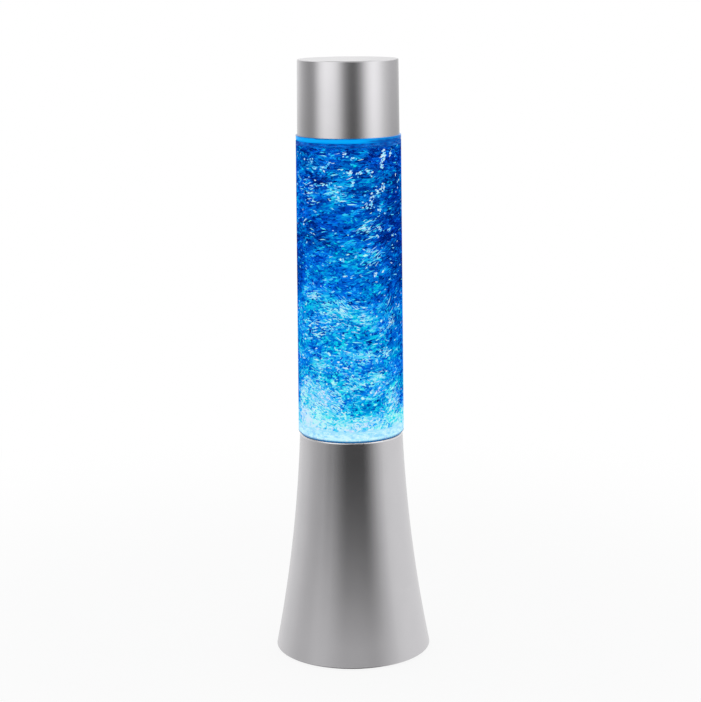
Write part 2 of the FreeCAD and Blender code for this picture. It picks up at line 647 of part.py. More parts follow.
pocket_box(bottom_plate, "bay_floor", f"2 * {BAY_HALF}", "bay_length",
           "plate_under", "cell_axis")
for number, place in enumerate(BAY_PLACES):
    bay = new_sketch(bottom_plate, f"bay_outline_{number}", "XZ_Plane")
    add_circle(bay, "bay_radius", place, "cell_axis")
    pocket(bottom_plate, f"bay_{number}", bay, "bay_length", both_ways=True)
pocket_box(bottom_plate, "door_opening", f"2 * {OPENING_HALF}", "bay_length + 2 * ledge_width",
           "plate_under", "ledge_height")
for side in ("", "-"):
    pocket_box(bottom_plate, "tongue_notch", "notch_width", "2 * bay_wall", "ledge_height",
               "notch_head", x=f"{side}(bay_pitch / 2)", y="bay_length / 2 + bay_wall / 2")
    pocket_box(bottom_plate, "tab_slit", "slit_width", "slit_gap", "cell_axis",
               "cell_axis + bay_radius + 2 * bay_wall", x=f"{side}(bay_pitch)",
               y=f"0 - {side}(slit_place)" if side else "0 - slit_place")
    pocket_box(bottom_plate, "contact_recess", "2 * bay_pitch + contact_width + 2 * contact_room",
               "contact_sheet + contact_room", "cell_axis", "contact_head + contact_room",
               y=f"{side}(bay_length / 2 - (contact_sheet + contact_room) / 2)")
pocket_box(bottom_plate, "latch_slot", "latch_slot_width",
           "latch_slot_end - bay_length / 2", "plate_under", "ledge_height",
           y="-(latch_slot_end + bay_length / 2) / 2")
pocket_box(bottom_plate, "switch_slot", "switch_slot_width", "switch_slot_length",
           "plate_under", "plate_over", x="-switch_x")
clip = pad_box(bottom_plate, "clip", "clip_width", "clip_far - clip_near", "plate_over",
               "clip_head", x="-switch_x", y="(clip_near + clip_far) / 2")
mirrored(bottom_plate, "clips", [clip], "XZ_Plane")
foot_recess = pocket_circle(bottom_plate, "foot_recess_bore", "foot_recess", "plate_under",
                            "plate_under + foot_recess_depth", x="boss_circle")
ring_of(bottom_plate, "foot_recesses", [foot_recess], 4)


# Rubber feet: four round pads glued into the plate's recesses.

rubber_feet = new_body("rubber_feet")
foot = revolve(rubber_feet, "foot", [
    ("0", "0"),
    ("foot_radius - foot_round", "0"),
    ("foot_radius", "foot_round"),
    ("foot_radius", "plate_under + foot_recess_depth"),
    ("0", "plate_under + foot_recess_depth"),
], x="boss_circle")
ring_of(rubber_feet, "feet", [foot], 4)


# Plate screws: four pan heads in the screw cups, driven into the shell's bosses.

def screw(body, head, head_height, shank, length, seat, x, y="0", upward=False):
    """A screw on its vertical axis. seat is the face under its head, which looks down
    unless upward is set."""
    sign = "+" if upward else "-"
    back = "-" if upward else "+"
    tip = f"{seat} {back} {length}"
    top = f"{seat} {sign} {head_height}"
    corners = [
        ("0", tip),
        ("0", f"{top} {back} recess_depth"),
        ("recess_radius / 2", f"{top} {back} recess_depth"),
        ("recess_radius", top),
        (f"{head} - 0.4", top),
        (head, f"{top} {back} 0.5"),
        (head, seat),
        (shank, seat),
        (shank, f"{tip} {sign} {shank}"),
        ("0.3 * " + shank, tip),
    ]
    return revolve(body, "screw", corners, x=x, y=y)


plate_screws = new_body("plate_screws")
plate_screw = screw(plate_screws, "plate_screw_head", "plate_screw_head_height",
                    "plate_screw_shank", "plate_screw_length", "head_seat", "boss_circle")
ring_of(plate_screws, "screws", [plate_screw], 4)
place_turned(plate_screws, 45)


# Battery cells: three cans with a nub at one end. The middle one lies the other way.

battery_cells = new_body("battery_cells")
for number, (place, side) in enumerate(zip(BAY_PLACES, ("1", "-1", "1"))):
    can = new_sketch(battery_cells, f"can_outline_{number}", "XY_Plane", x=place, z="cell_axis")
    back = f"{side} * (nub_place - cell_length)"
    shoulder = f"{side} * (nub_place - cell_length + cell_body)"
    add_outline(can, [
        ("0", back),
        ("cell_radius - 0.5", back),
        ("cell_radius", f"{back} + {side} * 0.5"),
        ("cell_radius", f"{shoulder} - {side} * 0.5"),
        ("cell_radius - 0.5", shoulder),
        ("nub_radius", shoulder),
        ("nub_radius", f"{side} * nub_place"),
        ("0", f"{side} * nub_place"),
    ])
    add_feature(battery_cells, "Revolution", f"can_{number}", can, True)


# Battery contacts: four stamped sheets on the well's end walls. Two bridge
# neighbouring cells, two have a tab that goes up through the roof.

battery_contacts = new_body("battery_contacts")
CONTACT_MIDDLE = "(contact_foot + contact_head) / 2"
CONTACT_HEIGHT = "contact_head - contact_foot"
for number, side in enumerate(("1", "-1")):
    wall_plane = "-bay_length / 2" if side == "1" else "bay_length / 2 - contact_sheet"
    sheet_outline = new_sketch(battery_contacts, f"single_outline_{number}", "XZ_Plane",
                               z=wall_plane)
    add_rectangle(sheet_outline, "contact_width", CONTACT_HEIGHT,
                  f"-{side} * bay_pitch", CONTACT_MIDDLE)
    pad(battery_contacts, f"single_{number}", sheet_outline, "contact_sheet")
    tab_outline = new_sketch(battery_contacts, f"tab_outline_{number}", "XZ_Plane",
                             z=wall_plane)
    add_rectangle(tab_outline, "tab_width", "tab_head - contact_head",
                  f"-{side} * bay_pitch", "(tab_head + contact_head) / 2")
    pad(battery_contacts, f"tab_{number}", tab_outline, "contact_sheet")
    bridge_outline = new_sketch(battery_contacts, f"bridge_outline_{number}", "XZ_Plane",
                                z=wall_plane)
    add_rectangle(bridge_outline, "contact_width + bay_pitch", CONTACT_HEIGHT,
                  f"{side} * bay_pitch / 2", CONTACT_MIDDLE)
    pad(battery_contacts, f"bridge_{number}", bridge_outline, "contact_sheet")
for number, (place, side) in enumerate(zip(BAY_PLACES, ("1", "-1", "1"))):
    front = "contact_sheet - bay_length / 2" if side == "1" else "nub_place"
    dimple = new_sketch(battery_contacts, f"dimple_outline_{number}", "XZ_Plane", z=front)
    add_circle(dimple, "dimple_radius", place, "cell_axis")
    pad(battery_contacts, f"dimple_{number}", dimple,
        "bay_length / 2 - contact_sheet - nub_place")


# Battery springs: one conical coil at the flat end of each cell, each an unbroken
# wire whose ends stand square on the contact and on the cell.

def biarc(start, start_way, end, end_way):
    """Two arcs that join two points and are tangent to the given directions there."""
    across = end - start
    both = start_way + end_way
    square = 2 * (1 - start_way.dot(end_way))
    linear = 2 * across.dot(both)
    reach = across.dot(across)
    arm = (math.sqrt(linear ** 2 + 4 * square * reach) - linear) / (2 * square)
    corner, next_corner = start + start_way * arm, end - end_way * arm
    joint = (corner + next_corner) * 0.5
    edges = []
    for first, peak, last in ((start, corner, joint), (joint, next_corner, end)):
        weight = (last - first).Length / 2 / arm
        middle = (first + last + peak * (2 * weight)) * (1 / (2 * (1 + weight)))
        edges.append(Part.Arc(first, middle, last).toShape())
    return edges


def pipe(edges, radius):
    """A round wire or tube of that radius along the joined edges."""
    path = Part.Wire(edges)
    start = edges[0].valueAt(edges[0].FirstParameter)
    way = edges[0].tangentAt(edges[0].FirstParameter)
    section = Part.Wire([Part.Circle(start, way, radius).toShape()])
    shell = Part.BRepOffsetAPI.MakePipeShell(path)
    shell.add(section)
    shell.build()
    shell.makeSolid()
    return shell.shape()


def placed(shape, spot, turn):
    """A copy of the shape, turned and then moved to the spot."""
    copy = shape.copy()
    copy.Placement = FreeCAD.Placement(spot, turn)
    return copy


SPRING_WIRE = number_of("spring_wire")
SPRING_LENGTH = number_of("bay_length / 2 - contact_sheet - (cell_length - nub_place)")
SPRING_END = number_of("spring_end")
SPRING_TURNS = int(number_of("spring_turns"))


def spring_point(turn):
    """A point of the coil after that many turns, from the contact at height 0."""
    low, high = number_of("spring_foot_radius"), number_of("spring_head_radius")
    share = turn / SPRING_TURNS
    radius = low + (high - low) * share
    height = SPRING_END + (SPRING_LENGTH - 2 * SPRING_END) * share
    angle = 2 * math.pi * turn
    return FreeCAD.Vector(radius * math.cos(angle), radius * math.sin(angle), height)


def spring_way(turn):
    """The direction of the coil's wire there."""
    step = 1e-4
    return (spring_point(turn + step) - spring_point(turn - step)).normalize()


def spring_solid():
    """One spring along +Z, from the contact at height 0."""
    halves = [index / 2 for index in range(2 * SPRING_TURNS + 1)]
    upward = FreeCAD.Vector(0, 0, 1)
    edges = []
    first = spring_point(0) - FreeCAD.Vector(0, SPRING_END - SPRING_WIRE, 0)
    stub_foot = FreeCAD.Vector(first.x, first.y, 0)
    stub_top = FreeCAD.Vector(first.x, first.y, SPRING_WIRE)
    edges.append(Part.LineSegment(stub_foot, stub_top).toShape())
    edges += biarc(stub_top, upward, spring_point(0), spring_way(0))
    for turn, following in zip(halves, halves[1:]):
        edges += biarc(spring_point(turn), spring_way(turn),
                       spring_point(following), spring_way(following))
    last = spring_point(SPRING_TURNS) + FreeCAD.Vector(0, SPRING_END - SPRING_WIRE, 0)
    tip_foot = FreeCAD.Vector(last.x, last.y, SPRING_LENGTH - SPRING_WIRE)
    tip_top = FreeCAD.Vector(last.x, last.y, SPRING_LENGTH)
    edges += biarc(spring_point(SPRING_TURNS), spring_way(SPRING_TURNS), tip_foot, upward)
    edges.append(Part.LineSegment(tip_foot, tip_top).toShape())
    return pipe(edges, SPRING_WIRE / 2)


def least_coil_gap():
    """The least free distance between one turn of the wire and the next."""
    samples = [spring_point(index / 48) for index in range(48 * SPRING_TURNS + 1)]
    return min((samples[index] - samples[other]).Length - SPRING_WIRE
               for index in range(len(samples)) for other in range(index + 24, len(samples)))


def place_spring(shape, place, side):
    """The spring set on the contact at the flat end of the cell in that bay."""
    away = FreeCAD.Rotation(FreeCAD.Vector(1, 0, 0), -90 if side == "1" else 90)
    wall = number_of("contact_sheet - bay_length / 2") * int(side)
    spot = FreeCAD.Vector(number_of(place), wall, number_of("cell_axis"))
    return placed(shape, spot, away)


battery_springs = document.addObject("Part::Feature", "battery_springs")
battery_springs.Label = "battery_springs"
one_spring = spring_solid()
battery_springs.Shape = Part.makeCompound([
    place_spring(one_spring, place, side)
    for place, side in zip(BAY_PLACES, ("1", "-1", "1"))])
print(f"least gap between the turns of a spring: {least_coil_gap():.2f} mm")


# Battery door: a flat moulding with two tongues that hook behind the plate, two
# stiffening ribs, grip grooves and a folded snap latch.

battery_door = new_body("battery_door")
DOOR_TOP = "plate_under + door_thickness"
DOOR_EDGE = "(bay_length / 2 + ledge_width - door_gap)"
pad_box(battery_door, "panel", f"2 * ({OPENING_HALF} - door_gap)", f"2 * {DOOR_EDGE}",
        "plate_under", DOOR_TOP)
round_edges(battery_door, "corner_rounding", "door_round", upright_edge)
latch_outline = new_sketch(battery_door, "latch_outline", "YZ_Plane")
LATCH_ROUND = "(latch_far - latch_near) / 2"
LATCH_SPRING_LINE = f"latch_head - {LATCH_ROUND}"
LATCH_MIDDLE = "-(latch_far + latch_near) / 2"
add_outline(latch_outline, [
    (f"0.5 - {DOOR_EDGE}", "plate_under"),
    ("0 - latch_near - latch_sheet", "plate_under"),
    ("0 - latch_near - latch_sheet", LATCH_SPRING_LINE),
    (LATCH_MIDDLE, "latch_head - latch_sheet"),
    ("latch_sheet - latch_far", LATCH_SPRING_LINE),
    ("latch_sheet - latch_far", "plate_under"),
    ("-latch_far", "plate_under"),
    ("-latch_far", LATCH_SPRING_LINE),
    (LATCH_MIDDLE, "latch_head"),
    ("-latch_near", LATCH_SPRING_LINE),
    ("-latch_near", DOOR_TOP),
    (f"0.5 - {DOOR_EDGE}", DOOR_TOP),
], arcs={2: f"{LATCH_ROUND} - latch_sheet", 3: f"{LATCH_ROUND} - latch_sheet",
         7: f"-({LATCH_ROUND})", 8: f"-({LATCH_ROUND})"})
pad(battery_door, "latch", latch_outline, "latch_width", both_ways=True)
tongue_outline = new_sketch(battery_door, "tongue_outline", "YZ_Plane",
                            z="(bay_pitch - tongue_width) / 2")
add_outline(tongue_outline, [
    (f"{DOOR_EDGE} - tongue_neck", DOOR_TOP),
    (DOOR_EDGE, DOOR_TOP),
    (DOOR_EDGE, "tongue_foot"),
    (f"{DOOR_EDGE} + tongue_reach", "tongue_foot"),
    (f"{DOOR_EDGE} + tongue_reach", "tongue_head"),
    (f"{DOOR_EDGE} - tongue_neck", "tongue_head"),
])
tongue = pad(battery_door, "tongue", tongue_outline, "tongue_width")
door_rib = pad_box(battery_door, "door_rib_pad", "door_rib", "door_rib_length", DOOR_TOP,
                   "door_rib_head", x="bay_pitch / 2")
mirrored(battery_door, "other_side", [tongue, door_rib], "YZ_Plane")
for number in range(4):
    pocket_box(battery_door, f"grip_{number}", "grip_width", "grip_groove", "plate_under",
               "plate_under + grip_depth", y=f"{number} * grip_pitch - grip_place")


# Switch: a slide switch between two clips, its pins, and the knob under the plate.

switch_body = new_body("switch_body")
pad_box(switch_body, "case", "switch_width", "switch_length", "plate_over", "switch_top",
        x="-switch_x")
pocket_box(switch_body, "stem_slot", "stem_slot_width", "stem_slot_length", "plate_over",
           "stem_slot_top", x="-switch_x")

switch_terminals = new_body("switch_terminals")
for number in range(3):
    pad_box(switch_terminals, f"pin_{number}", "pin_sheet", "pin_width", "switch_top",
            "pin_top", x="-switch_x", y=f"{number - 1} * pin_pitch")

switch_knob = new_body("switch_knob")
KNOB_Y = "knob_travel / 2"
pad_box(switch_knob, "knob", "knob_width", "knob_length", "knob_under", "knob_over",
        x="-switch_x", y=KNOB_Y)
round_edges(switch_knob, "knob_rounding", "knob_round", upright_edge)
pad_box(switch_knob, "stem", "stem_width", "stem_length", "knob_over", "stem_top",
        x="-switch_x", y=KNOB_Y)
for number in range(3):
    pocket_box(switch_knob, f"knob_groove_{number}", "knob_width + 1", "knob_round",
               "knob_under", "knob_under + knob_round", x="-switch_x",
               y=f"{KNOB_Y} + {number - 1} * 3 * knob_round")


# Control board on its standoffs, its components and its screws.

BOARD_TOP = "standoff_head + board_thickness"

control_board = new_body("control_board")
pad_box(control_board, "sheet", "board_width", "board_length", "standoff_head", BOARD_TOP)
board_hole = pocket_circle(control_board, "hole", "standoff_pilot", "standoff_head", BOARD_TOP,
                           x="bay_pitch", y="standoff_y")
in_corners(control_board, "holes", [board_hole])

board_components = new_body("board_components")
BLOCKS = [
    ("chip", 10, 6.2, 1.8, 0, 4),
    ("regulator", 6.6, 6.1, 2.3, -9, -8),
    ("first_resistor", 3.2, 1.6, 0.6, 9, 6),
    ("second_resistor", 3.2, 1.6, 0.6, 9, 9.5),
    ("third_resistor", 1.6, 3.2, 0.6, -9, 2),
]
for name, width, depth, height, x, y in BLOCKS:
    pad_box(board_components, name, str(width), str(depth), BOARD_TOP,
            f"{BOARD_TOP} + {height}", x=str(x), y=str(y))
CANS = [("capacitor", 3.15, 7, 9, -7), ("coil", 3.9, 5, -9, 11)]
for name, radius, height, x, y in CANS:
    pad_circle(board_components, name, str(radius), BOARD_TOP, f"{BOARD_TOP} + {height}",
               x=str(x), y=str(y))

board_screws = new_body("board_screws")
board_screw = screw(board_screws, "small_head", "small_head_height", "small_shank",
                    "board_screw_length", BOARD_TOP, "bay_pitch", "standoff_y", upward=True)
in_corners(board_screws, "screws", [board_screw])


# Tower: the white frame on the plate's posts. Two arched legs with a window carry the
# deck for motor, light and reflector.

tower = new_body("tower")
revolve(tower, "wall", [
    ("tower_ring_inner", "post_head"),
    ("tower_ring_outer", "post_head"),
    ("tower_ring_outer", "tower_ring_head"),
    ("tower_low_radius", "tower_ring_head"),
    ("tower_high_radius", "deck_over"),
    ("deck_bore", "deck_over"),
    ("deck_bore", "deck_under"),
    ("tower_high_radius - tower_wall", "deck_under"),
    ("tower_ring_inner", "tower_ring_head"),
])
arch_outline = new_sketch(tower, "arch_outline", "XZ_Plane")
add_outline(arch_outline, [
    ("-arch_low_width / 2", "post_head - 1"),
    ("arch_low_width / 2", "post_head - 1"),
    ("arch_high_width / 2", "arch_head"),
    ("-arch_high_width / 2", "arch_head"),
], arcs={2: "0.65 * arch_high_width"})
pocket(tower, "arch", arch_outline, "3 * tower_ring_outer", both_ways=True)
window_outline = new_sketch(tower, "window_outline", "YZ_Plane")
add_outline(window_outline, [
    ("-window_low_width / 2", "window_foot"),
    ("window_low_width / 2", "window_foot"),
    ("window_high_width / 2", "window_head"),
    ("-window_high_width / 2", "window_head"),
], arcs={2: "0.65 * window_high_width"})
pocket(tower, "window", window_outline, "3 * tower_ring_outer", both_ways=True)
tower_bore = pocket_circle(tower, "screw_hole", "tower_hole", "post_head", "tower_ring_head",
                           x="post_x", y="post_y")
in_corners(tower, "screw_holes", [tower_bore])
motor_hole = pocket_circle(tower, "motor_hole", "shaft_radius + 0.1", "deck_under",
                           "deck_over", x="motor_screw_place")
ring_of(tower, "motor_holes", [motor_hole], 2)
pocket_box(tower, "lead_slot", "lead_slot_width", "lead_slot_far - lead_slot_near",
           "deck_under", "deck_over", y="(lead_slot_far + lead_slot_near) / 2")

tower_screws = new_body("tower_screws")
tower_screw = screw(tower_screws, "small_head", "small_head_height", "small_shank",
                    "tower_screw_length", "tower_ring_head", "post_x", "post_y", upward=True)
in_corners(tower_screws, "screws", [tower_screw])


# Light: an annular board, six diodes on it, and the white reflector dish round them.

LIGHT_BOARD_TOP = "deck_over + board_thickness"

light_board = new_body("light_board")
board_ring = new_sketch(light_board, "ring_outline", "XY_Plane", z="deck_over")
add_circle(board_ring, "light_board_outer")
add_circle(board_ring, "light_board_inner")
pad(light_board, "ring", board_ring, "board_thickness")

light_diodes = new_body("light_diodes")
diode = revolve(light_diodes, "diode", [
    ("0", LIGHT_BOARD_TOP),
    ("diode_flange", LIGHT_BOARD_TOP),
    ("diode_flange", f"{LIGHT_BOARD_TOP} + diode_flange_height"),
    ("diode_radius", f"{LIGHT_BOARD_TOP} + diode_flange_height"),
    ("diode_radius", "diode_shoulder"),
    ("0", "diode_shoulder + diode_radius"),
], arcs={4: "diode_radius"}, x="diode_circle")
ring_of(light_diodes, "diodes", [diode], 6)

reflector_cup = new_body("reflector_cup")
revolve(reflector_cup, "dish", [
    ("reflector_inner", LIGHT_BOARD_TOP),
    ("reflector_low_radius", LIGHT_BOARD_TOP),
    ("reflector_high_radius", "reflector_head"),
    ("reflector_high_radius - reflector_wall", "reflector_head"),
    ("reflector_low_radius - reflector_wall", f"{LIGHT_BOARD_TOP} + reflector_wall"),
    ("reflector_inner", f"{LIGHT_BOARD_TOP} + reflector_wall"),
])
dish_hole = pocket_circle(reflector_cup, "hole", "diode_hole", LIGHT_BOARD_TOP,
                          f"{LIGHT_BOARD_TOP} + reflector_wall", x="diode_circle")
ring_of(reflector_cup, "holes", [dish_hole], 6)


# Motor: a can with two arc magnets, its end cap, terminals, bush and screws.

motor_can = new_body("motor_can")
revolve(motor_can, "can", [
    ("motor_radius", "motor_foot"),
    ("motor_radius", "deck_under"),
    ("motor_nose", "deck_under"),
    ("motor_nose", "motor_nose_top"),
    ("bush_radius", "motor_nose_top"),
    ("bush_radius", "deck_under - motor_top_sheet"),
    ("motor_radius - motor_sheet", "deck_under - motor_top_sheet"),
    ("motor_radius - motor_sheet", "motor_foot"),
])
round_edges(motor_can, "shoulder", "motor_round", ring_edge("motor_radius", "deck_under"))
can_hole = pocket_circle(motor_can, "hole", "shaft_radius", "deck_under - motor_top_sheet",
                         "deck_under", x="motor_screw_place")
ring_of(motor_can, "holes", [can_hole], 2)

motor_end_cap = new_body("motor_end_cap")
revolve(motor_end_cap, "cap", [
    ("0", "tail_foot"),
    ("tail_radius", "tail_foot"),
    ("tail_radius", "end_cap_foot"),
    ("end_cap_radius", "end_cap_foot"),
    ("end_cap_radius", "end_cap_top"),
    ("shaft_radius + shaft_play", "end_cap_top"),
    ("shaft_radius + shaft_play", "shaft_foot - 0.2"),
    ("0", "shaft_foot - 0.2"),
])

motor_terminals = new_body("motor_terminals")
terminal = pad_box(motor_terminals, "terminal", "terminal_sheet", "terminal_width",
                   "terminal_foot", "end_cap_foot", x="terminal_place")
ring_of(motor_terminals, "terminals", [terminal], 2)

motor_magnets = new_body("motor_magnets")
field_magnet = revolve(motor_magnets, "field_magnet", [
    ("field_inner", "field_foot"),
    ("field_outer", "field_foot"),
    ("field_outer", "field_head"),
    ("field_inner", "field_head"),
], angle="field_arc")
ring_of(motor_magnets, "field_magnets", [field_magnet], 2)

motor_bush = new_body("motor_bush")
revolve(motor_bush, "bush", [
    ("shaft_radius + shaft_play", "bush_foot"),
    ("bush_radius", "bush_foot"),
    ("bush_radius", "motor_nose_top"),
    ("shaft_radius + shaft_play", "motor_nose_top"),
])

motor_screws = new_body("motor_screws")
motor_screw = screw(motor_screws, "small_head", "small_head_height", "small_shank",
                    "motor_screw_length", "deck_over", "motor_screw_place", upward=True)
ring_of(motor_screws, "screws", [motor_screw], 2)


# Drive: the motor's shaft and armature, and the magnet carrier that turns on it.

motor_shaft = new_body("motor_shaft")
revolve(motor_shaft, "shaft", [
    ("0", "shaft_foot"),
    ("shaft_radius", "shaft_foot"),
    ("shaft_radius", "carrier_head - 0.5"),
    ("0", "carrier_head - 0.5"),
])

armature = new_body("armature")
revolve(armature, "stack", [
    ("shaft_radius", "armature_foot"),
    ("armature_radius", "armature_foot"),
    ("armature_radius", "armature_head"),
    ("shaft_radius", "armature_head"),
])
armature_cut = pocket_box(armature, "slot", "armature_radius - armature_core + 1",
                          "armature_slot", "armature_foot", "armature_head",
                          x="(armature_radius + armature_core + 1) / 2")
ring_of(armature, "slots", [armature_cut], 3)

magnet_carrier = new_body("magnet_carrier")
revolve(magnet_carrier, "carrier", [
    ("shaft_radius", "carrier_hub_foot"),
    ("carrier_hub", "carrier_hub_foot"),
    ("carrier_hub", "carrier_foot"),
    ("carrier_radius", "carrier_foot"),
    ("carrier_radius", "carrier_head"),
    ("shaft_radius", "carrier_head"),
])
carrier_pocket = pocket_circle(magnet_carrier, "magnet_bore", "magnet_pocket",
                               "carrier_head - magnet_height", "carrier_head",
                               x="magnet_place")
ring_of(magnet_carrier, "magnet_bores", [carrier_pocket], 2)

drive_magnets = new_body("drive_magnets")
drive_magnet = pad_circle(drive_magnets, "magnet", "magnet_radius",
                          "carrier_head - magnet_height", "carrier_head", x="magnet_place")
ring_of(drive_magnets, "magnets", [drive_magnet], 2)


# Tube cup: the clear bottom of the tube, with the sump in which the stirrer turns. A
# lock ring under the shell's flange holds it, and a gasket lies between.

tube_cup = new_body("tube_cup")
revolve(tube_cup, "cup", [
    ("0", "sump_foot"),
    ("sump_radius", "sump_foot"),
    ("sump_radius", "tube_foot"),
    ("flange_radius", "tube_foot"),
    ("flange_radius", "cup_groove_foot"),
    ("seal_groove_floor", "cup_groove_foot"),
    ("seal_groove_floor", "cup_groove_foot + seal_groove_width"),
    ("flange_radius", "cup_groove_foot + seal_groove_width"),
    ("flange_radius", "flange_head"),
    ("sump_bore", "flange_head"),
    ("sump_bore", "sump_floor"),
    ("pin_boss_radius", "sump_floor"),
    ("pin_boss_radius", "pin_boss_head"),
    ("pin_radius", "pin_boss_head"),
    ("pin_radius", "pin_foot"),
    ("0", "pin_foot"),
])

SEAL_FOOT = "cup_groove_foot + seal_room"
SEAL_HEAD = "cup_groove_foot + seal_groove_width - seal_room"
cup_seal = new_body("cup_seal")
revolve(cup_seal, "ring", [
    ("seal_groove_floor", SEAL_FOOT),
    ("seal_groove_floor + seal_reach - seal_lip", SEAL_FOOT),
    ("seal_groove_floor + seal_reach", f"{SEAL_FOOT} + seal_lip"),
    ("seal_groove_floor + seal_reach", f"{SEAL_HEAD} - seal_lip"),
    ("seal_groove_floor + seal_reach - seal_lip", SEAL_HEAD),
    ("seal_groove_floor", SEAL_HEAD),
])

lock_ring = new_body("lock_ring")
revolve(lock_ring, "ring", [
    ("lock_inner", "lock_foot"),
    ("lock_outer", "lock_foot"),
    ("lock_outer", "base_height - rim_thickness"),
    ("lock_inner", "base_height - rim_thickness"),
])
spanner_notch = pocket_box(lock_ring, "notch", "2 * (lock_outer - lock_inner)",
                           "lock_notch_width", "lock_foot", "lock_foot + lock_notch_depth",
                           x="(lock_outer + lock_inner) / 2")
ring_of(lock_ring, "notches", [spanner_notch], 6)

seat_gasket = new_body("seat_gasket")
revolve(seat_gasket, "ring", [
    ("gasket_inner", "base_height"),
    ("gasket_outer", "base_height"),
    ("gasket_outer", "tube_foot"),
    ("gasket_inner", "tube_foot"),
])

tube = new_body("tube")
revolve(tube, "wall", [
    ("tube_low_radius", "tube_foot"),
    ("tube_high_radius", "tube_head"),
    ("tube_high_radius - tube_wall", "tube_head"),
    ("tube_low_radius - tube_wall", "tube_foot"),
])


# Stirrer: a disc with four curved blades and two magnets, on a steel pin.

stirrer_pin = new_body("stirrer_pin")
revolve(stirrer_pin, "pin", [
    ("0", "pin_foot"),
    ("pin_radius", "pin_foot"),
    ("pin_radius", "pin_head - 0.4"),
    ("pin_radius - 0.4", "pin_head"),
    ("0", "pin_head"),
])

pin_retainer = new_body("pin_retainer")
revolve(pin_retainer, "washer", [
    ("pin_radius", "retainer_foot"),
    ("retainer_radius", "retainer_foot"),
    ("retainer_radius", "retainer_head"),
    ("pin_radius", "retainer_head"),
])

stirrer = new_body("stirrer")
revolve(stirrer, "disc", [
    ("stirrer_bore", "stirrer_foot"),
    ("stirrer_radius", "stirrer_foot"),
    ("stirrer_radius", "stirrer_disc_head"),
    ("stirrer_hub", "stirrer_disc_head"),
    ("stirrer_hub", "stirrer_head"),
    ("stirrer_bore", "stirrer_head"),
])
blade_outline = new_sketch(stirrer, "blade_outline", "XY_Plane", z="stirrer_disc_head")
add_outline(blade_outline, [
    ("stirrer_hub - 0.6", "-blade_thickness / 2"),
    ("stirrer_radius - 1.2", "1.6"),
    ("stirrer_radius - 1.6", "1.6 + blade_thickness"),
    ("stirrer_hub - 0.6", "blade_thickness / 2"),
], arcs={0: "blade_inner_curve", 2: "-blade_outer_curve"})
blade = pad(stirrer, "blade", blade_outline, "stirrer_head - stirrer_disc_head")
stirrer_pocket = pocket_circle(stirrer, "magnet_bore", "magnet_pocket", "stirrer_foot",
                               "stirrer_foot + stirrer_magnet_height", x="magnet_place")
ring_of(stirrer, "blades", [blade], 4)
ring_of(stirrer, "magnet_bores", [stirrer_pocket], 2)

stirrer_magnets = new_body("stirrer_magnets")
stirrer_magnet = pad_circle(stirrer_magnets, "magnet", "magnet_radius", "stirrer_foot",
                            "stirrer_foot + stirrer_magnet_height", x="magnet_place")
ring_of(stirrer_magnets, "magnets", [stirrer_magnet], 2)


# Liquid: it fills the tube and its cup, but for the room in which the stirrer turns.

liquid = new_body("liquid")
revolve(liquid, "filling", [
    ("stirrer_room_radius", "sump_floor + liquid_gap"),
    ("sump_bore - liquid_gap", "sump_floor + liquid_gap"),
    ("sump_bore - liquid_gap", "flange_head + liquid_gap"),
    ("tube_low_radius - tube_wall - 2 * liquid_gap", "flange_head + liquid_gap"),
    ("tube_high_radius - tube_wall - liquid_gap", "plug_foot - liquid_gap"),
    ("0", "plug_foot - liquid_gap"),
    ("0", "stirrer_room_head"),
    ("stirrer_room_radius", "stirrer_room_head"),
])


# Glitter flakes: thin six-sided platelets, loose in the liquid, each at its own tilt.

def flake_places():
    """Places of the flakes, none nearer to another than the spacing."""
    chance = random.Random(7)
    reach = number_of("tube_high_radius - tube_wall - 2 * flake_radius")
    low = number_of("flange_head + 2 * flake_radius")
    high = number_of("plug_foot - 2 * flake_radius")
    places = []
    while len(places) < number_of("flake_count"):
        radius = reach * math.sqrt(chance.random())
        angle = 2 * math.pi * chance.random()
        spot = FreeCAD.Vector(radius * math.cos(angle), radius * math.sin(angle),
                              chance.uniform(low, high))
        if all((spot - other).Length > number_of("flake_spacing") for other in places):
            places.append(spot)
    return places


def flake_solid(spot, chance):
    """One platelet about that spot."""
    radius, thickness = number_of("flake_radius"), number_of("flake_thickness")
    corners = [FreeCAD.Vector(radius * math.cos(math.radians(60 * index)),
                              radius * math.sin(math.radians(60 * index)), -thickness / 2)
               for index in range(6)]
    face = Part.Face(Part.makePolygon(corners + corners[:1]))
    platelet = face.extrude(FreeCAD.Vector(0, 0, thickness))
    tilt = FreeCAD.Rotation(FreeCAD.Vector(chance.uniform(-1, 1), chance.uniform(-1, 1), 0),
                            chance.uniform(0, 75))
    return placed(platelet, spot, tilt)


flake_chance = random.Random(11)
glitter_flakes = document.addObject("Part::Feature", "glitter_flakes")
glitter_flakes.Label = "glitter_flakes"
glitter_flakes.Shape = Part.makeCompound([
    flake_solid(spot, flake_chance) for spot in flake_places()])


# Top plug: the clear lid of the tube. Its rim shows under the cap, its collar holds
# the cap, and a slotted plug with a washer closes its filling hole.

top_plug = new_body("top_plug")
revolve(top_plug, "plug", [
    ("fill_bore", "plug_foot"),
    ("plug_radius", "plug_foot"),
    ("plug_radius", "plug_rim_foot"),
    ("plug_flange_radius", "plug_rim_foot"),
    ("plug_flange_radius", "cap_foot"),
    ("collar_radius", "cap_foot"),
    ("collar_radius", "collar_head"),
    ("collar_bore", "collar_head"),
    ("collar_bore", "cap_foot"),
    ("fill_bore", "cap_foot"),
])

plug_seal = new_body("plug_seal")
revolve(plug_seal, "ring", [
    ("plug_seal_inner", "tube_head"),
    ("plug_seal_outer", "tube_head"),
    ("plug_seal_outer", "plug_rim_foot"),
    ("plug_seal_inner", "plug_rim_foot"),
])

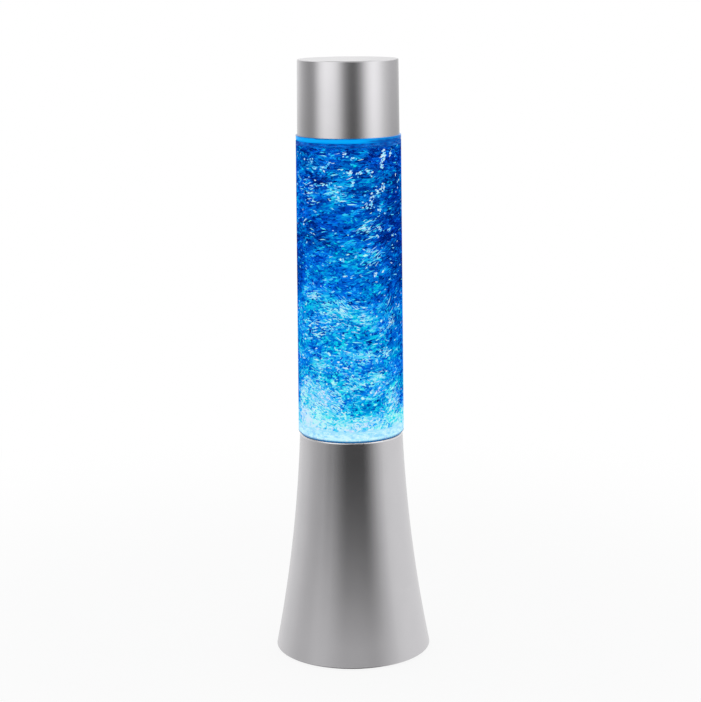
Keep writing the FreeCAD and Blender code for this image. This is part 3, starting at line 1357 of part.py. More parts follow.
fill_washer = new_body("fill_washer")
revolve(fill_washer, "ring", [
    ("washer_inner", "cap_foot"),
    ("fill_head_radius", "cap_foot"),
    ("fill_head_radius", "cap_foot + washer_thickness"),
    ("washer_inner", "cap_foot + washer_thickness"),
])

fill_plug = new_body("fill_plug")
revolve(fill_plug, "plug", [
    ("0", "fill_shank_foot"),
    ("fill_shank - 0.6", "fill_shank_foot"),
    ("fill_shank", "fill_shank_foot + 0.6"),
    ("fill_shank", "cap_foot + washer_thickness"),
    ("fill_head_radius", "cap_foot + washer_thickness"),
    ("fill_head_radius", "fill_head_top - 0.8"),
    ("fill_head_radius - 0.8", "fill_head_top"),
    ("0", "fill_head_top"),
])
pocket_box(fill_plug, "coin_slot", "2 * fill_head_radius + 1", "coin_slot_width",
           "fill_head_top - coin_slot_depth", "fill_head_top")


# Cap: the silver top cover, and the ribbed sleeve in it that grips the collar.

top_cap = new_body("top_cap")
revolve(top_cap, "shell", [
    ("cap_bore", "cap_foot"),
    ("cap_low_radius", "cap_foot"),
    ("cap_high_radius", "lamp_height"),
    ("0", "lamp_height"),
    ("0", "lamp_height - cap_top"),
    ("cap_upper_bore", "lamp_height - cap_top"),
    ("cap_upper_bore", "cap_step"),
    ("cap_bore", "cap_step"),
])
round_edges(top_cap, "top_rounding", "cap_round", ring_edge("cap_high_radius", "lamp_height"))

cap_sleeve = new_body("cap_sleeve")
sleeve_outline = new_sketch(cap_sleeve, "ring_outline", "XY_Plane", z="sleeve_foot")
add_circle(sleeve_outline, "sleeve_radius")
add_circle(sleeve_outline, "sleeve_bore")
pad(cap_sleeve, "ring", sleeve_outline, "cap_step - sleeve_foot")
sleeve_rib = pad_box(cap_sleeve, "rib", "sleeve_rib_reach - sleeve_bore - 0.4",
                     "sleeve_rib_width", "sleeve_foot", "cap_step",
                     x="(sleeve_rib_reach + sleeve_bore + 0.4) / 2")
ring_of(cap_sleeve, "ribs", [sleeve_rib], "sleeve_ribs")


# Leads: short insulated wires inside the base, each a run of straights and arcs.

def lead_edges(points):
    """Straight runs through the points, joined by arcs as large as the runs allow."""
    corners = [FreeCAD.Vector(*point) for point in points]
    edges = []
    here = corners[0]
    for before, corner, after in zip(corners, corners[1:], corners[2:]):
        inward, outward = corner - before, after - corner
        setback = 0.45 * min(inward.Length, outward.Length)
        inward.normalize()
        outward.normalize()
        half_turn = inward.getAngle(outward) / 2
        arc_start, arc_end = corner - inward * setback, corner + outward * setback
        weight = math.cos(half_turn)
        middle = (arc_start + arc_end + corner * (2 * weight)) * (1 / (2 * (1 + weight)))
        edges.append(Part.LineSegment(here, arc_start).toShape())
        edges.append(Part.Arc(arc_start, middle, arc_end).toShape())
        print(f"lead bend radius: {setback / math.tan(half_turn):.1f} mm")
        here = arc_end
    edges.append(Part.LineSegment(here, corners[-1]).toShape())
    return edges


def leads(label, points):
    """Two leads: one through the points, and its twin half a turn round the axis."""
    one = pipe(lead_edges(points), number_of("lead_radius"))
    half_turn = FreeCAD.Rotation(FreeCAD.Vector(0, 0, 1), 180)
    other = placed(one, FreeCAD.Vector(), half_turn)
    pair = document.addObject("Part::Feature", label)
    pair.Label = label
    pair.Shape = Part.makeCompound([one, other])
    return pair


BOARD_FACE = number_of(BOARD_TOP)
TERMINAL = number_of("terminal_place")
TERMINAL_FOOT = number_of("terminal_foot")
TAB_X = number_of("bay_pitch")
TAB_Y = number_of("slit_place")
TAB_TOP = number_of("tab_head")

motor_leads = leads("motor_leads", [
    (4, -14, BOARD_FACE),
    (4, -14, 48),
    (9, -9, 70),
    (TERMINAL, 0, 86),
    (TERMINAL, 0, TERMINAL_FOOT),
])
battery_leads = leads("battery_leads", [
    (TAB_X, -TAB_Y, TAB_TOP),
    (TAB_X, -TAB_Y, TAB_TOP + 5),
    (12.5, -25, TAB_TOP + 8.5),
    (10, -19.5, TAB_TOP + 6.5),
    (10, -19.5, BOARD_FACE),
])


# Checks and files

SUB_PARTS = [item for item in document.Objects
             if item.TypeId == "PartDesign::Body" or item.TypeId == "Part::Feature"]
document.recompute()
for item in document.Objects:
    if "Invalid" in item.State or "Error" in item.State:
        raise RuntimeError(f"{item.Name} failed: {item.State}")
for sub_part in SUB_PARTS:
    if sub_part.Shape.isNull() or not sub_part.Shape.isValid():
        raise RuntimeError(f"{sub_part.Label} has no valid shape")

os.makedirs("parts", exist_ok=True)
for sub_part in SUB_PARTS:
    sub_part.Shape.exportStep(f"parts/{sub_part.Label}.step")
print(f"{len(SUB_PARTS)} sub-parts written")
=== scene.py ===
import math

import bpy
import numpy as np
from mathutils import Matrix


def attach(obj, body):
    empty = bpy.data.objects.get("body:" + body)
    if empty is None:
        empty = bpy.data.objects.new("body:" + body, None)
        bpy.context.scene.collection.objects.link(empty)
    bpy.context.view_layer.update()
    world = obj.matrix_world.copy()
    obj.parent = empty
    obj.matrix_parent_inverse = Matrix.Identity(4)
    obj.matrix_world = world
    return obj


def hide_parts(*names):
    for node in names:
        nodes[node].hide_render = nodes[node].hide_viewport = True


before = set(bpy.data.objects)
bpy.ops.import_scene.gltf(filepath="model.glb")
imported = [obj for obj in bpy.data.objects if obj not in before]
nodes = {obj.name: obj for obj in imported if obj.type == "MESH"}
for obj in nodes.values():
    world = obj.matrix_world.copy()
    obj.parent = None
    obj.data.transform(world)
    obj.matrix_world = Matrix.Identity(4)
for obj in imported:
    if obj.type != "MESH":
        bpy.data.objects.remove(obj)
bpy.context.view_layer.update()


# Base shell: one flared plastic moulding, open below, with a flange at its rim. It is
# sprayed with satin silver paint, whose metal flake leaves a faint grain and hairlines.
class Term:
    """One output of a finish's nodes. An expression on it adds its Math nodes."""

    def __init__(self, finish, socket):
        self.finish = finish
        self.socket = socket

    def maths(self, operation, *values):
        return self.finish.node("ShaderNodeMath", {"operation": operation},
                                dict(enumerate(values)))

    def __add__(self, other):
        return self.maths("ADD", self, other)

    def __radd__(self, other):
        return self.maths("ADD", other, self)

    def __sub__(self, other):
        return self.maths("SUBTRACT", self, other)

    def __rsub__(self, other):
        return self.maths("SUBTRACT", other, self)

    def __mul__(self, other):
        return self.maths("MULTIPLY", self, other)

    def __rmul__(self, other):
        return self.maths("MULTIPLY", other, self)

    def __truediv__(self, other):
        return self.maths("DIVIDE", self, other)


class Finish:
    """A material, or the studio's world, in the making."""

    def __init__(self, name, world=False):
        kept = bpy.data.worlds if world else bpy.data.materials
        self.made = kept.new(name)
        self.made.use_nodes = True
        self.tree = self.made.node_tree
        self.tree.nodes.clear()
        self.place = self.node("ShaderNodeTexCoord", output="Object")

    def node(self, kind, settings={}, inputs={}, output=0):
        """Adds a node, its settings first, then the values or links of its sockets."""
        added = self.tree.nodes.new(kind)
        for name, value in settings.items():
            if name == "stops":
                stops = added.color_ramp.elements
                for stop, (place, colour) in zip((stops[0], stops[1]), (value[0], value[-1])):
                    stop.position = place
                    stop.color = (*colour, 1.0)
                for place, colour in value[1:-1]:
                    stops.new(place).color = (*colour, 1.0)
            else:
                setattr(added, name, value)
        for name, value in inputs.items():
            socket = added.inputs[name]
            if isinstance(value, Term):
                self.tree.links.new(value.socket, socket)
            elif socket.type == "RGBA":
                socket.default_value = (*value, 1.0)
            else:
                socket.default_value = value
        if added.outputs:
            return Term(self, added.outputs[output])

    def noise(self, scale, detail=2.0, stretch=(1.0, 1.0, 1.0)):
        """Clouds from 0 to 1. scale is in cells to a metre, before they are stretched."""
        at = self.node("ShaderNodeMapping", {}, {"Vector": self.place, "Scale": stretch})
        return self.node("ShaderNodeTexNoise", {},
                         {"Vector": at, "Scale": scale, "Detail": detail})

    def step(self, value, low, high):
        """0 below low, 1 above high, and smooth between them."""
        return self.node("ShaderNodeMapRange", {"interpolation_type": "SMOOTHSTEP"},
                         {"Value": value, "From Min": low, "From Max": high})

    def mix(self, share, first, second):
        return self.node("ShaderNodeMix", {"data_type": "RGBA"},
                         {0: share, 6: first, 7: second}, output=2)

    def ramp(self, value, stops):
        return self.node("ShaderNodeValToRGB", {"stops": stops}, {"Fac": value})

    def along(self, axis):
        return self.node("ShaderNodeSeparateXYZ", {}, {"Vector": self.place}, output=axis)

    def bump(self, height, depth):
        return self.node("ShaderNodeBump", {}, {"Height": height, "Distance": depth})

    def surface(self, sockets):
        """Ends the material with one Principled shader, and returns the material."""
        shader = self.node("ShaderNodeBsdfPrincipled", {}, sockets)
        self.node("ShaderNodeOutputMaterial", {}, {"Surface": shader})
        return self.made


def silver_paint(name, marks, rim):
    """Satin metallic paint. marks is how strongly its hairline marks show. Above the height
    rim, in metres, its colour is painted near white, a painted highlight on the rim's edge."""
    paint = Finish(name)
    # Painted highlight: the paint's colour turns near white above the rim height.
    painted_rim_highlight = paint.step(paint.along("Z"), rim - 0.0006, rim)
    flake = paint.noise(1500.0, detail=1.0)
    drift = paint.noise(45.0)
    lines = paint.noise(1.0, detail=1.0, stretch=(70.0, 70.0, 2600.0))
    hairline = paint.step(lines, 0.70, 0.76) * paint.step(drift, 0.50, 0.62) * marks
    shade = drift * 0.5 + flake * 0.35 + hairline
    silver = paint.mix(shade, (0.70, 0.69, 0.71), (0.81, 0.795, 0.815))
    return paint.surface({
        "Base Color": paint.mix(painted_rim_highlight, silver, (0.98, 0.98, 1.0)),
        "Metallic": 1.0,
        "Roughness": 0.18 + flake * 0.05 - hairline * 0.06,
        "Normal": paint.bump(flake + drift * 0.5, 4e-6),
    })


def dress(node, material):
    """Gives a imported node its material."""
    nodes[node].data.materials[0] = material


# The base's rounded rim, above BASE_RIM, gets a painted highlight in its colour.
BASE_RIM = 0.1506
dress("base_shell", silver_paint("base_paint", marks=0.5, rim=BASE_RIM))


# Bottom plate: a black moulding that closes the shell, with the battery well in it. Its
# faces carry the fine grain of a spark-eroded mould. Four screws hold it.
def moulded(name, colour, roughness, grain=1300.0, depth=1.2e-5):
    """Moulded plastic or rubber, a little uneven in colour and gloss, with a fine grain."""
    plastic = Finish(name)
    fine = plastic.noise(grain, detail=3.0)
    broad = plastic.noise(70.0)
    shade = fine * 0.45 + broad * 0.55
    darker = tuple(0.82 * part for part in colour)
    lighter = tuple(min(1.12 * part + 0.004, 1.0) for part in colour)
    return plastic.surface({
        "Base Color": plastic.mix(shade, darker, lighter),
        "Roughness": roughness - 0.06 + fine * 0.12,
        "Normal": plastic.bump(fine, depth),
    })


black_plastic = moulded("plate_plastic", (0.03, 0.03, 0.032), 0.50)
dress("bottom_plate", black_plastic)


# Rubber feet: four soft black buttons pressed into the bottom plate. The lamp stands on
# them, and they are matt all over.
dress("rubber_feet", moulded("foot_rubber", (0.021, 0.021, 0.021), 0.78, grain=900.0, depth=2e-5))


# Plate screws: four zinc-plated pan heads with a cross recess and a coarse thread. They
# sit sunk in the plate's screw cups and hold it to the shell's bosses.
def plated(name, colour, roughness, lines=(1.0, 1.0, 1.0), scale=900.0):
    """Bare or plated metal. lines stretches its grain into tool marks."""
    metal = Finish(name)
    grain = metal.noise(scale, detail=3.0, stretch=lines)
    bloom = metal.noise(140.0)
    darker = tuple(0.84 * part for part in colour)
    return metal.surface({
        "Base Color": metal.mix(grain * 0.4 + bloom * 0.6, darker, colour),
        "Metallic": 1.0,
        "Roughness": roughness - 0.05 + grain * 0.1 + bloom * 0.06,
        "Normal": metal.bump(grain, 5e-6),
    })


def choose(*pieces):
    """Selects these pieces and nothing else. The first is the active one."""
    bpy.ops.object.select_all(action="DESELECT")
    for piece in pieces:
        piece.select_set(True)
    bpy.context.view_layer.objects.active = pieces[0]


def turned(name, outline, steps):
    """A body of revolution: one point extruded along an outline of radius and height, in
    millimetres, and spun round the upright axis."""
    bpy.ops.object.select_all(action="DESELECT")
    bpy.ops.mesh.primitive_plane_add(size=0.001)
    piece = bpy.context.object
    piece.name = name
    bpy.ops.object.mode_set(mode="EDIT")
    bpy.ops.mesh.merge(type="CENTER")
    radius, height = outline[0]
    bpy.ops.transform.translate(value=(radius / 1000, 0, height / 1000))
    for (from_radius, from_height), (to_radius, to_height) in zip(outline, outline[1:]):
        run = ((to_radius - from_radius) / 1000, 0, (to_height - from_height) / 1000)
        bpy.ops.mesh.extrude_region_move(TRANSFORM_OT_translate={"value": run})
    bpy.ops.mesh.select_all(action="SELECT")
    bpy.ops.mesh.spin(steps=steps, angle=2 * math.pi, center=(0, 0, 0), axis=(0, 0, 1))
    bpy.ops.mesh.select_all(action="SELECT")
    bpy.ops.mesh.remove_doubles(threshold=1e-6)
    bpy.ops.mesh.normals_make_consistent(inside=False)
    bpy.ops.object.mode_set(mode="OBJECT")
    return piece


def joined(name, pieces):
    """Makes one piece of several, under a new name."""
    choose(*pieces)
    bpy.ops.object.join()
    pieces[0].name = name
    return pieces[0]


def copied(piece, shifts, turns):
    """Copies of a piece, each turned on the upright axis and shifted in metres, as one
    piece that takes its name."""
    made = []
    for shift, turn in zip(shifts, turns):
        choose(piece)
        bpy.ops.object.duplicate()
        copy = bpy.context.object
        copy.data.transform(Matrix.Translation(shift) @ Matrix.Rotation(turn, 4, "Z"))
        made.append(copy)
    name = piece.name
    bpy.data.objects.remove(piece)
    return joined(name, made)


def smooth(piece, degrees=35):
    choose(piece)
    bpy.ops.object.shade_smooth_by_angle(angle=math.radians(degrees))


def place_on(piece, body, slot, *replaced):
    """A finished new piece: it rides on its body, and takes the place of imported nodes."""
    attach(piece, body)
    if replaced:
        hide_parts(*replaced)


def block(name, low, high, round_off):
    """A box between two corners in millimetres, its edges bevelled unless round_off is 0."""
    bpy.ops.object.select_all(action="DESELECT")
    middle = [(a + b) / 2000 for a, b in zip(low, high)]
    bpy.ops.mesh.primitive_cube_add(size=1.0, location=middle)
    piece = bpy.context.object
    piece.name = name
    piece.scale = [(b - a) / 1000 for a, b in zip(low, high)]
    bpy.ops.object.transform_apply(location=True, rotation=True, scale=True)
    if round_off:
        bevel = piece.modifiers.new("edges", "BEVEL")
        bevel.width = round_off / 1000
        bevel.segments = 3
        bpy.ops.object.modifier_apply(modifier="edges")
    return piece


def cut(piece, cutter):
    """Takes the cutter's shape out of the piece."""
    choose(piece)
    hole = piece.modifiers.new("hole", "BOOLEAN")
    hole.operation = "DIFFERENCE"
    hole.object = cutter
    bpy.ops.object.modifier_apply(modifier="hole")
    bpy.data.objects.remove(cutter)


thread = []
for turn in range(9):
    thread += [(1.25, 9.0 + turn), (1.02, 9.5 + turn)]
plate_screw = turned("screw_heads", [
    (0.0, 5.6), (1.5, 5.62), (2.2, 5.8), (2.62, 6.2), (2.8, 6.8), (2.8, 7.4), (1.2, 7.4),
    (1.2, 8.6), *thread, (1.15, 18.0), (0.5, 19.1), (0.0, 19.4),
], 32)
for wide, deep in ((1.35, 0.27), (0.27, 1.35)):
    cut(plate_screw, block("recess", (-wide, -deep, 5.0), (wide, deep, 6.5), 0))
SCREW_CIRCLE = 0.043
side = SCREW_CIRCLE / math.sqrt(2)
screw_places = [(side, side, 0), (-side, side, 0), (-side, -side, 0), (side, -side, 0)]
screw_heads = copied(plate_screw, screw_places, [0.3, 1.1, 0.7, 1.9])
smooth(screw_heads)
zinc = plated("zinc_plating", (0.70, 0.70, 0.67), 0.34)
screw_heads.data.materials.append(zinc)
place_on(screw_heads, "base", "zinc_steel", "plate_screws")


# Battery cells: three sleeved cans in the well, the middle one the other way round. The
# sleeve laps over the can's ends, and the plus end has its nub and an insulating ring.
cell = turned("cell_cans", [
    (0.0, 0.0), (4.6, 0.0), (4.8, 0.25), (6.3, 0.25), (6.5, 0.0), (7.0, 0.12), (7.25, 0.6),
    (7.25, 47.4), (7.05, 48.0), (7.2, 48.5), (7.0, 49.1), (6.6, 49.3), (6.2, 49.1),
    (5.2, 48.9), (3.3, 49.0), (2.75, 49.3), (2.75, 50.2), (2.4, 50.5), (0.0, 50.5),
], 40)
CELL_FOOT, CELL_HEIGHT, CELL_PITCH = -0.0217, 0.0133, 0.0152
cell.data.transform(Matrix.Translation((0, 0, CELL_FOOT)))
laid = Matrix.Rotation(-math.pi / 2, 4, "X")
cell.data.transform(Matrix.Translation((0, 0, CELL_HEIGHT)) @ laid)
cells = copied(cell, [(-CELL_PITCH, 0, 0), (0, 0, 0), (CELL_PITCH, 0, 0)], [0, math.pi, 0])
smooth(cells, 25)
sleeve = Finish("cell_sleeve")
lengthways = sleeve.along("Y")
print_line = lengthways.maths("PINGPONG", lengthways, 0.006)
sleeve_grain = sleeve.noise(500.0)
sleeve_print = sleeve.step(print_line, 0.0052, 0.0056) * 0.5 + sleeve_grain * 0.1
cells.data.materials.append(sleeve.surface({
    "Base Color": sleeve.mix(sleeve_print, (0.10, 0.13, 0.17), (0.42, 0.45, 0.48)),
    "Metallic": 0.35,
    "Roughness": 0.32 + sleeve_grain * 0.08,
    "Normal": sleeve.bump(sleeve_grain, 6e-6),
}))
cells.data.materials.append(plated("cell_ends", (0.74, 0.73, 0.70), 0.30))
SLEEVE_END = 0.0265
for face in cells.data.polygons:
    face.material_index = int(abs(face.center.y) > SLEEVE_END or abs(face.normal.y) > 0.9)
place_on(cells, "base", "cell_can", "battery_cells")


# Battery contacts and springs: stamped and wound from nickel-plated spring steel. The
# sheets slide into recesses in the well's end walls, and the springs sit on them.
nickel = plated("nickel_plating", (0.78, 0.77, 0.73), 0.28, lines=(1.0, 1.0, 6.0))
dress("battery_contacts", nickel)
dress("battery_springs", nickel)


# Battery door: the black cover of the well. Its two tongues hook under the plate at one
# end, and it snaps shut with the sprung latch at the other.
dress("battery_door", moulded("door_plastic", (0.034, 0.034, 0.036), 0.46))


# Slide switch: a moulded case with tinned terminals, clipped in behind the plate. Its
# knob comes out through a slot, and has ribs across it for the fingertip.
dress("switch_body", moulded("switch_case", (0.05, 0.05, 0.052), 0.36, grain=2200.0))
dress("switch_terminals", plated("tinned_terminals", (0.80, 0.78, 0.70), 0.32))
knob_parts = [
    block("knob_body", (-36.2, -1.2, 1.95), (-31.8, 5.2, 4.6), 0.45),
    block("knob_stem", (-35.0, 0.2, 4.4), (-33.0, 3.8, 8.2), 0.15),
]
for number in range(5):
    start = -0.9 + 1.2 * number
    knob_parts.append(block("knob_rib", (-35.9, start, 1.6), (-32.1, start + 0.6, 2.2), 0.14))
switch_knob = joined("switch_button", knob_parts)
smooth(switch_knob)
switch_knob.data.materials.append(
    moulded("knob_plastic", (0.055, 0.055, 0.06), 0.34, grain=2400.0))
place_on(switch_knob, "switch_slider", "knob_plastic", "switch_knob")


# Control board: a coated glass-fibre laminate on the plate's posts, with tracks under its
# lacquer. Its components are moulded cases, and two small screws hold it.
def laminate(name, coat, track):
    """A lacquered circuit board, on which the copper tracks stand out a little."""
    board = Finish(name)
    weave = board.noise(1500.0)
    squares = board.node("ShaderNodeTexVoronoi", {"distance": "CHEBYCHEV"},
                         {"Vector": board.place, "Scale": 420.0})
    tracks = board.step(squares, 0.34, 0.37)
    return board.surface({
        "Base Color": board.mix(tracks * 0.8 + weave * 0.15, coat, track),
        "Roughness": 0.30 + weave * 0.12,
        "Normal": board.bump(tracks, 2e-5),
    })


dress("control_board", laminate("control_laminate", (0.03, 0.20, 0.08), (0.08, 0.36, 0.16)))
dress("board_components", moulded("component_cases", (0.06, 0.06, 0.062), 0.42, grain=2600.0))
dress("board_screws", zinc)


# Tower: the white moulded frame over the battery well. It carries the motor, the light
# board and the reflector, and four screws through its feet hold it to the plate.
white_plastic = moulded("tower_plastic", (0.82, 0.82, 0.80), 0.40, grain=900.0)
dress("tower", white_plastic)
dress("tower_screws", zinc)


# Light: a ring of six blue-white diodes on a board, inside a glossy white cup that throws
# their light up through the tube's floor.
dress("light_board", laminate("light_laminate", (0.62, 0.64, 0.62), (0.80, 0.80, 0.76)))
lens = Finish("diode_lens")
lens_rise = lens.step(lens.along("Z"), 0.1165, 0.1235)
dress("light_diodes", lens.surface({
    "Base Color": (0.75, 0.88, 1.0),
    "Roughness": 0.10 + lens.noise(600.0) * 0.08,
    "Emission Color": lens.mix(lens_rise, (0.05, 0.25, 0.75), (0.35, 0.75, 1.0)),
    "Emission Strength": 1.5,
    "Coat Weight": 0.5,
}))
dress("reflector_cup",
      moulded("reflector_plastic", (0.88, 0.89, 0.88), 0.22, grain=700.0, depth=4e-6))


# Motor: a drawn and plated steel can with a moulded end cap, tinned terminals and arc
# magnets inside. Two screws hang it under the light board's deck.
dress("motor_can", plated("motor_can_steel", (0.70, 0.70, 0.69), 0.26, lines=(1.0, 1.0, 0.06)))
dress("motor_end_cap", moulded("end_cap_plastic", (0.05, 0.05, 0.05), 0.44, grain=2400.0))
dress("motor_terminals", plated("motor_terminal_tin", (0.80, 0.77, 0.66), 0.34))
dress("motor_magnets",
      moulded("sintered_ferrite", (0.10, 0.10, 0.105), 0.62, grain=3000.0, depth=2e-5))
dress("motor_bush", plated("sintered_bronze", (0.66, 0.46, 0.24), 0.42))
dress("motor_screws", zinc)


# Drive rotor: the motor's ground shaft with its stacked armature, and on its end the
# moulded carrier whose two magnets drag the stirrer round through the tube's floor.
steel = plated("ground_steel", (0.74, 0.74, 0.75), 0.18, lines=(1.0, 1.0, 5.0))
dress("motor_shaft", steel)
dress("armature",
      plated("armature_stack", (0.46, 0.45, 0.45), 0.40, lines=(0.05, 0.05, 3.0), scale=2000.0))
dress("magnet_carrier", white_plastic)
magnet_nickel = plated("magnet_plating", (0.80, 0.79, 0.75), 0.16)
dress("drive_magnets", magnet_nickel)


# Tube cup: the clear moulded floor of the tube, which reaches down into the base. The
# lamp's light fills its edge, so it glows pale blue where the tube shows it.
def tone(red, green, blue):
    """Screen numbers from 0 to 255 as the linear colour that shaders take."""
    parts = [part / 255 for part in (red, green, blue)]
    return tuple(p / 12.92 if p <= 0.04045 else ((p + 0.055) / 1.055) ** 2.4 for p in parts)


cup = Finish("lit_cup")
cup_glow = cup.step(cup.noise(1.0, detail=4.0, stretch=(300.0, 300.0, 420.0)), 0.3, 0.72)
cup_height = cup.step(cup.along("Z"), 0.134, 0.1535)
cup_rim = cup.step(cup.along("Z"), 0.1556, 0.1538)
cup_pale = cup.mix(cup_rim, cup.mix(cup_glow, tone(140, 220, 248), tone(206, 246, 255)),
                   cup.mix(cup_glow, tone(170, 234, 254), tone(210, 249, 255)))
cup_haze = cup.step(cup.noise(260.0), 0.52, 0.64) * 0.55
cup_hazy = cup.mix(cup_haze, cup_pale, tone(158, 206, 252))
cup_dots = cup.step(cup.noise(800.0, detail=1.0), 0.62, 0.70) * 0.75
cup_light = cup.mix(cup_dots, cup_hazy, tone(238, 250, 255))
dress("tube_cup", cup.surface({
    "Base Color": (0.02, 0.04, 0.05),
    "Roughness": 0.12 + cup_glow * 0.06,
    "Specular IOR Level": 0.0,
    "Emission Color": cup.mix(cup_height, tone(20, 110, 190), cup_light),
    "Emission Strength": 1.0,
}))


# Cup seal, gasket and lock ring: a lipped rubber ring between cup and tube, a flat blue
# gasket on the base's rim, and the black nut that pulls the cup down from inside.
dress("seat_gasket", moulded("gasket_rubber", tone(38, 142, 214), 0.50))
# The cup seal is no lamp: its pale blue glow is painted light, the lamp's light through it.
seal = Finish("lit_seal")
seal_grain = seal.noise(300.0)
seal_glow = seal.step(seal_grain, 0.35, 0.65)
dress("cup_seal", seal.surface({
    "Base Color": (0.02, 0.04, 0.05),
    "Roughness": 0.45 + seal_grain * 0.1,
    "Specular IOR Level": 0.0,
    "Emission Color": seal.mix(seal_glow, tone(150, 216, 250), tone(206, 246, 254)),
    "Emission Strength": 1.0,
}))
dress("lock_ring", moulded("lock_ring_plastic", (0.028, 0.028, 0.03), 0.42))


# Tube: clear acrylic, polished, with eased ends. The liquid wets its bore, so only the
# outer face bends and mirrors light, and the flakes are seen out to its very edge.
TUBE_FOOT, TUBE_TOP = 152.6, 348.0
BORE_FOOT, BORE_TAPER = 33.5, 1.0
tube = turned("clear_tube", [
    (BORE_FOOT, 153.0), (33.9, TUBE_FOOT), (35.1, TUBE_FOOT), (35.5, 153.0),
    (34.502, 347.6), (34.1, TUBE_TOP), (32.9, TUBE_TOP), (32.502, 347.6), (BORE_FOOT, 153.0),
], 128)
smooth(tube)
acrylic = Finish("polished_acrylic")
polish = acrylic.noise(40.0) * 0.010 + 0.010
bend = 1.15
facing = acrylic.node("ShaderNodeLayerWeight", {}, {"Blend": 0.5}, output="Facing")
glossy_part = acrylic.node("ShaderNodeBsdfPrincipled", {}, {
    "Base Color": (0.98, 0.99, 1.0),
    "Roughness": polish,
    "IOR": bend,
    "Specular Tint": (0.3, 0.4, 0.5),
    "Transmission Weight": 1.0,
})
bent_part = acrylic.node("ShaderNodeBsdfRefraction", {}, {
    "Color": (0.97, 0.985, 1.0), "Roughness": polish, "IOR": bend,
})
tube_look = acrylic.node("ShaderNodeMixShader", {}, {
    0: acrylic.step(facing, 0.05, 0.35), 1: glossy_part, 2: bent_part,
})
acrylic.node("ShaderNodeOutputMaterial", {}, {"Surface": tube_look})
tube.data.materials.append(acrylic.made)
bore = Finish("wetted_bore")
unseen = bore.node("ShaderNodeBsdfTransparent", {}, {"Color": (1.0, 1.0, 1.0)})
bore.node("ShaderNodeOutputMaterial", {}, {"Surface": unseen})
tube.data.materials.append(bore.made)
for face in tube.data.polygons:
    reach = math.hypot(face.center.x, face.center.y)
    outward = face.normal.x * face.center.x + face.normal.y * face.center.y
    face.material_index = int(outward < -0.5 * reach)
place_on(tube, "base", "clear_plastic", "tube")


# Stirrer: a white moulded wheel with two plated magnets, on a steel pin in the cup's
# floor under a clear retainer. It whirls the flakes up through the liquid.
dress("stirrer_pin", steel)
dress("pin_retainer", moulded("retainer_plastic", (0.80, 0.86, 0.90), 0.20, grain=600.0))
dress("stirrer", white_plastic)
dress("stirrer_magnets", magnet_nickel)


# Liquid: a clear fluid lit from below. A few millimetres in, the flakes hide one another
# and it shows as a glowing mosaic, deep blue above and pale over the lamp.
liquid = turned("lit_liquid", [
    (0.0, 149.2), (15.2, 149.2), (15.2, 134.8), (27.0, 134.8), (29.0, 140.0), (30.2, 157.6),
    (30.9, 160.0), (30.0, 343.0), (27.0, 344.8), (0.0, 344.8),
], 96)
smooth(liquid)
deep = Finish("deep_liquid")
deep_streaks = deep.noise(1.0, detail=4.0, stretch=(150.0, 150.0, 560.0))
deep_clouds = deep.noise(1.0, detail=2.0, stretch=(26.0, 26.0, 46.0))
deep_pale = deep.step(deep.along("Z"), 0.176, 0.158)
deep_rise = deep.step(deep.along("Z"), 0.270, 0.235)
deep_light = deep_streaks * 0.75 + deep_clouds * 0.45 - 0.16 + deep_rise * 0.12 + deep_pale * 0.5
liquid.data.materials.append(deep.surface({
    "Base Color": (0.0, 0.01, 0.03),
    "Roughness": 0.5,
    "Specular IOR Level": 0.0,
    "Emission Color": deep.ramp(deep_light, [
        (0.25, tone(0, 34, 118)), (0.45, tone(0, 74, 172)), (0.60, tone(0, 118, 212)),
        (0.75, tone(10, 168, 238)), (0.95, tone(165, 228, 250)),
    ]),
    "Emission Strength": 1.0,
}))
place_on(liquid, "base", "blue_liquid", "liquid")


# Glitter flakes: slivers of cut foil that the whirl lays flat and drags along. Each glows
# as it catches the lamp: blue ones everywhere, and pale and white ones in drifts.
bpy.ops.object.select_all(action="DESELECT")
bpy.ops.mesh.primitive_cone_add(vertices=3, radius1=0.5, depth=0.5)
sliver = bpy.context.object
sliver_faces = np.array([list(face.vertices) for face in sliver.data.polygons])
bpy.data.objects.remove(sliver)
SLIVER_AT = np.array([[-0.5, 0.05], [0.5, -0.05], [0.12, 0.5], [-0.10, -0.5]])


def edit(piece):
    """Opens the piece alone for editing, with all its faces selected."""
    choose(piece)
    bpy.ops.object.mode_set(mode="EDIT")
    bpy.ops.mesh.select_mode(type="FACE")
    bpy.ops.mesh.select_all(action="SELECT")


def waves(angle, height, fastest_turn, fastest_rise, seed):
    """Smooth clouds round the tube and up it, from about -1 to 1."""
    draw = np.random.default_rng(seed)
    total = np.zeros_like(angle)
    for _ in range(24):
        turn = draw.integers(-fastest_turn, fastest_turn + 1)
        rise = draw.uniform(-fastest_rise, fastest_rise)
        total += np.sin(turn * angle + rise * height + draw.uniform(0, 2 * np.pi))
    return total / 5


def drifts(angle, height, places):
    """Clouds at given places: degrees to the right of the front, height in millimetres, their
    half sizes and amount. The back has the same clouds as the front."""
    total = np.zeros_like(angle)
    for at, up, wide, tall, amount in places:
        for side in (0, 180):
            away = (np.degrees(angle) - at - side + 180) % 360 - 180
            total += amount * np.exp(-(away / wide) ** 2 - ((height - up) / tall) ** 2)
    return total


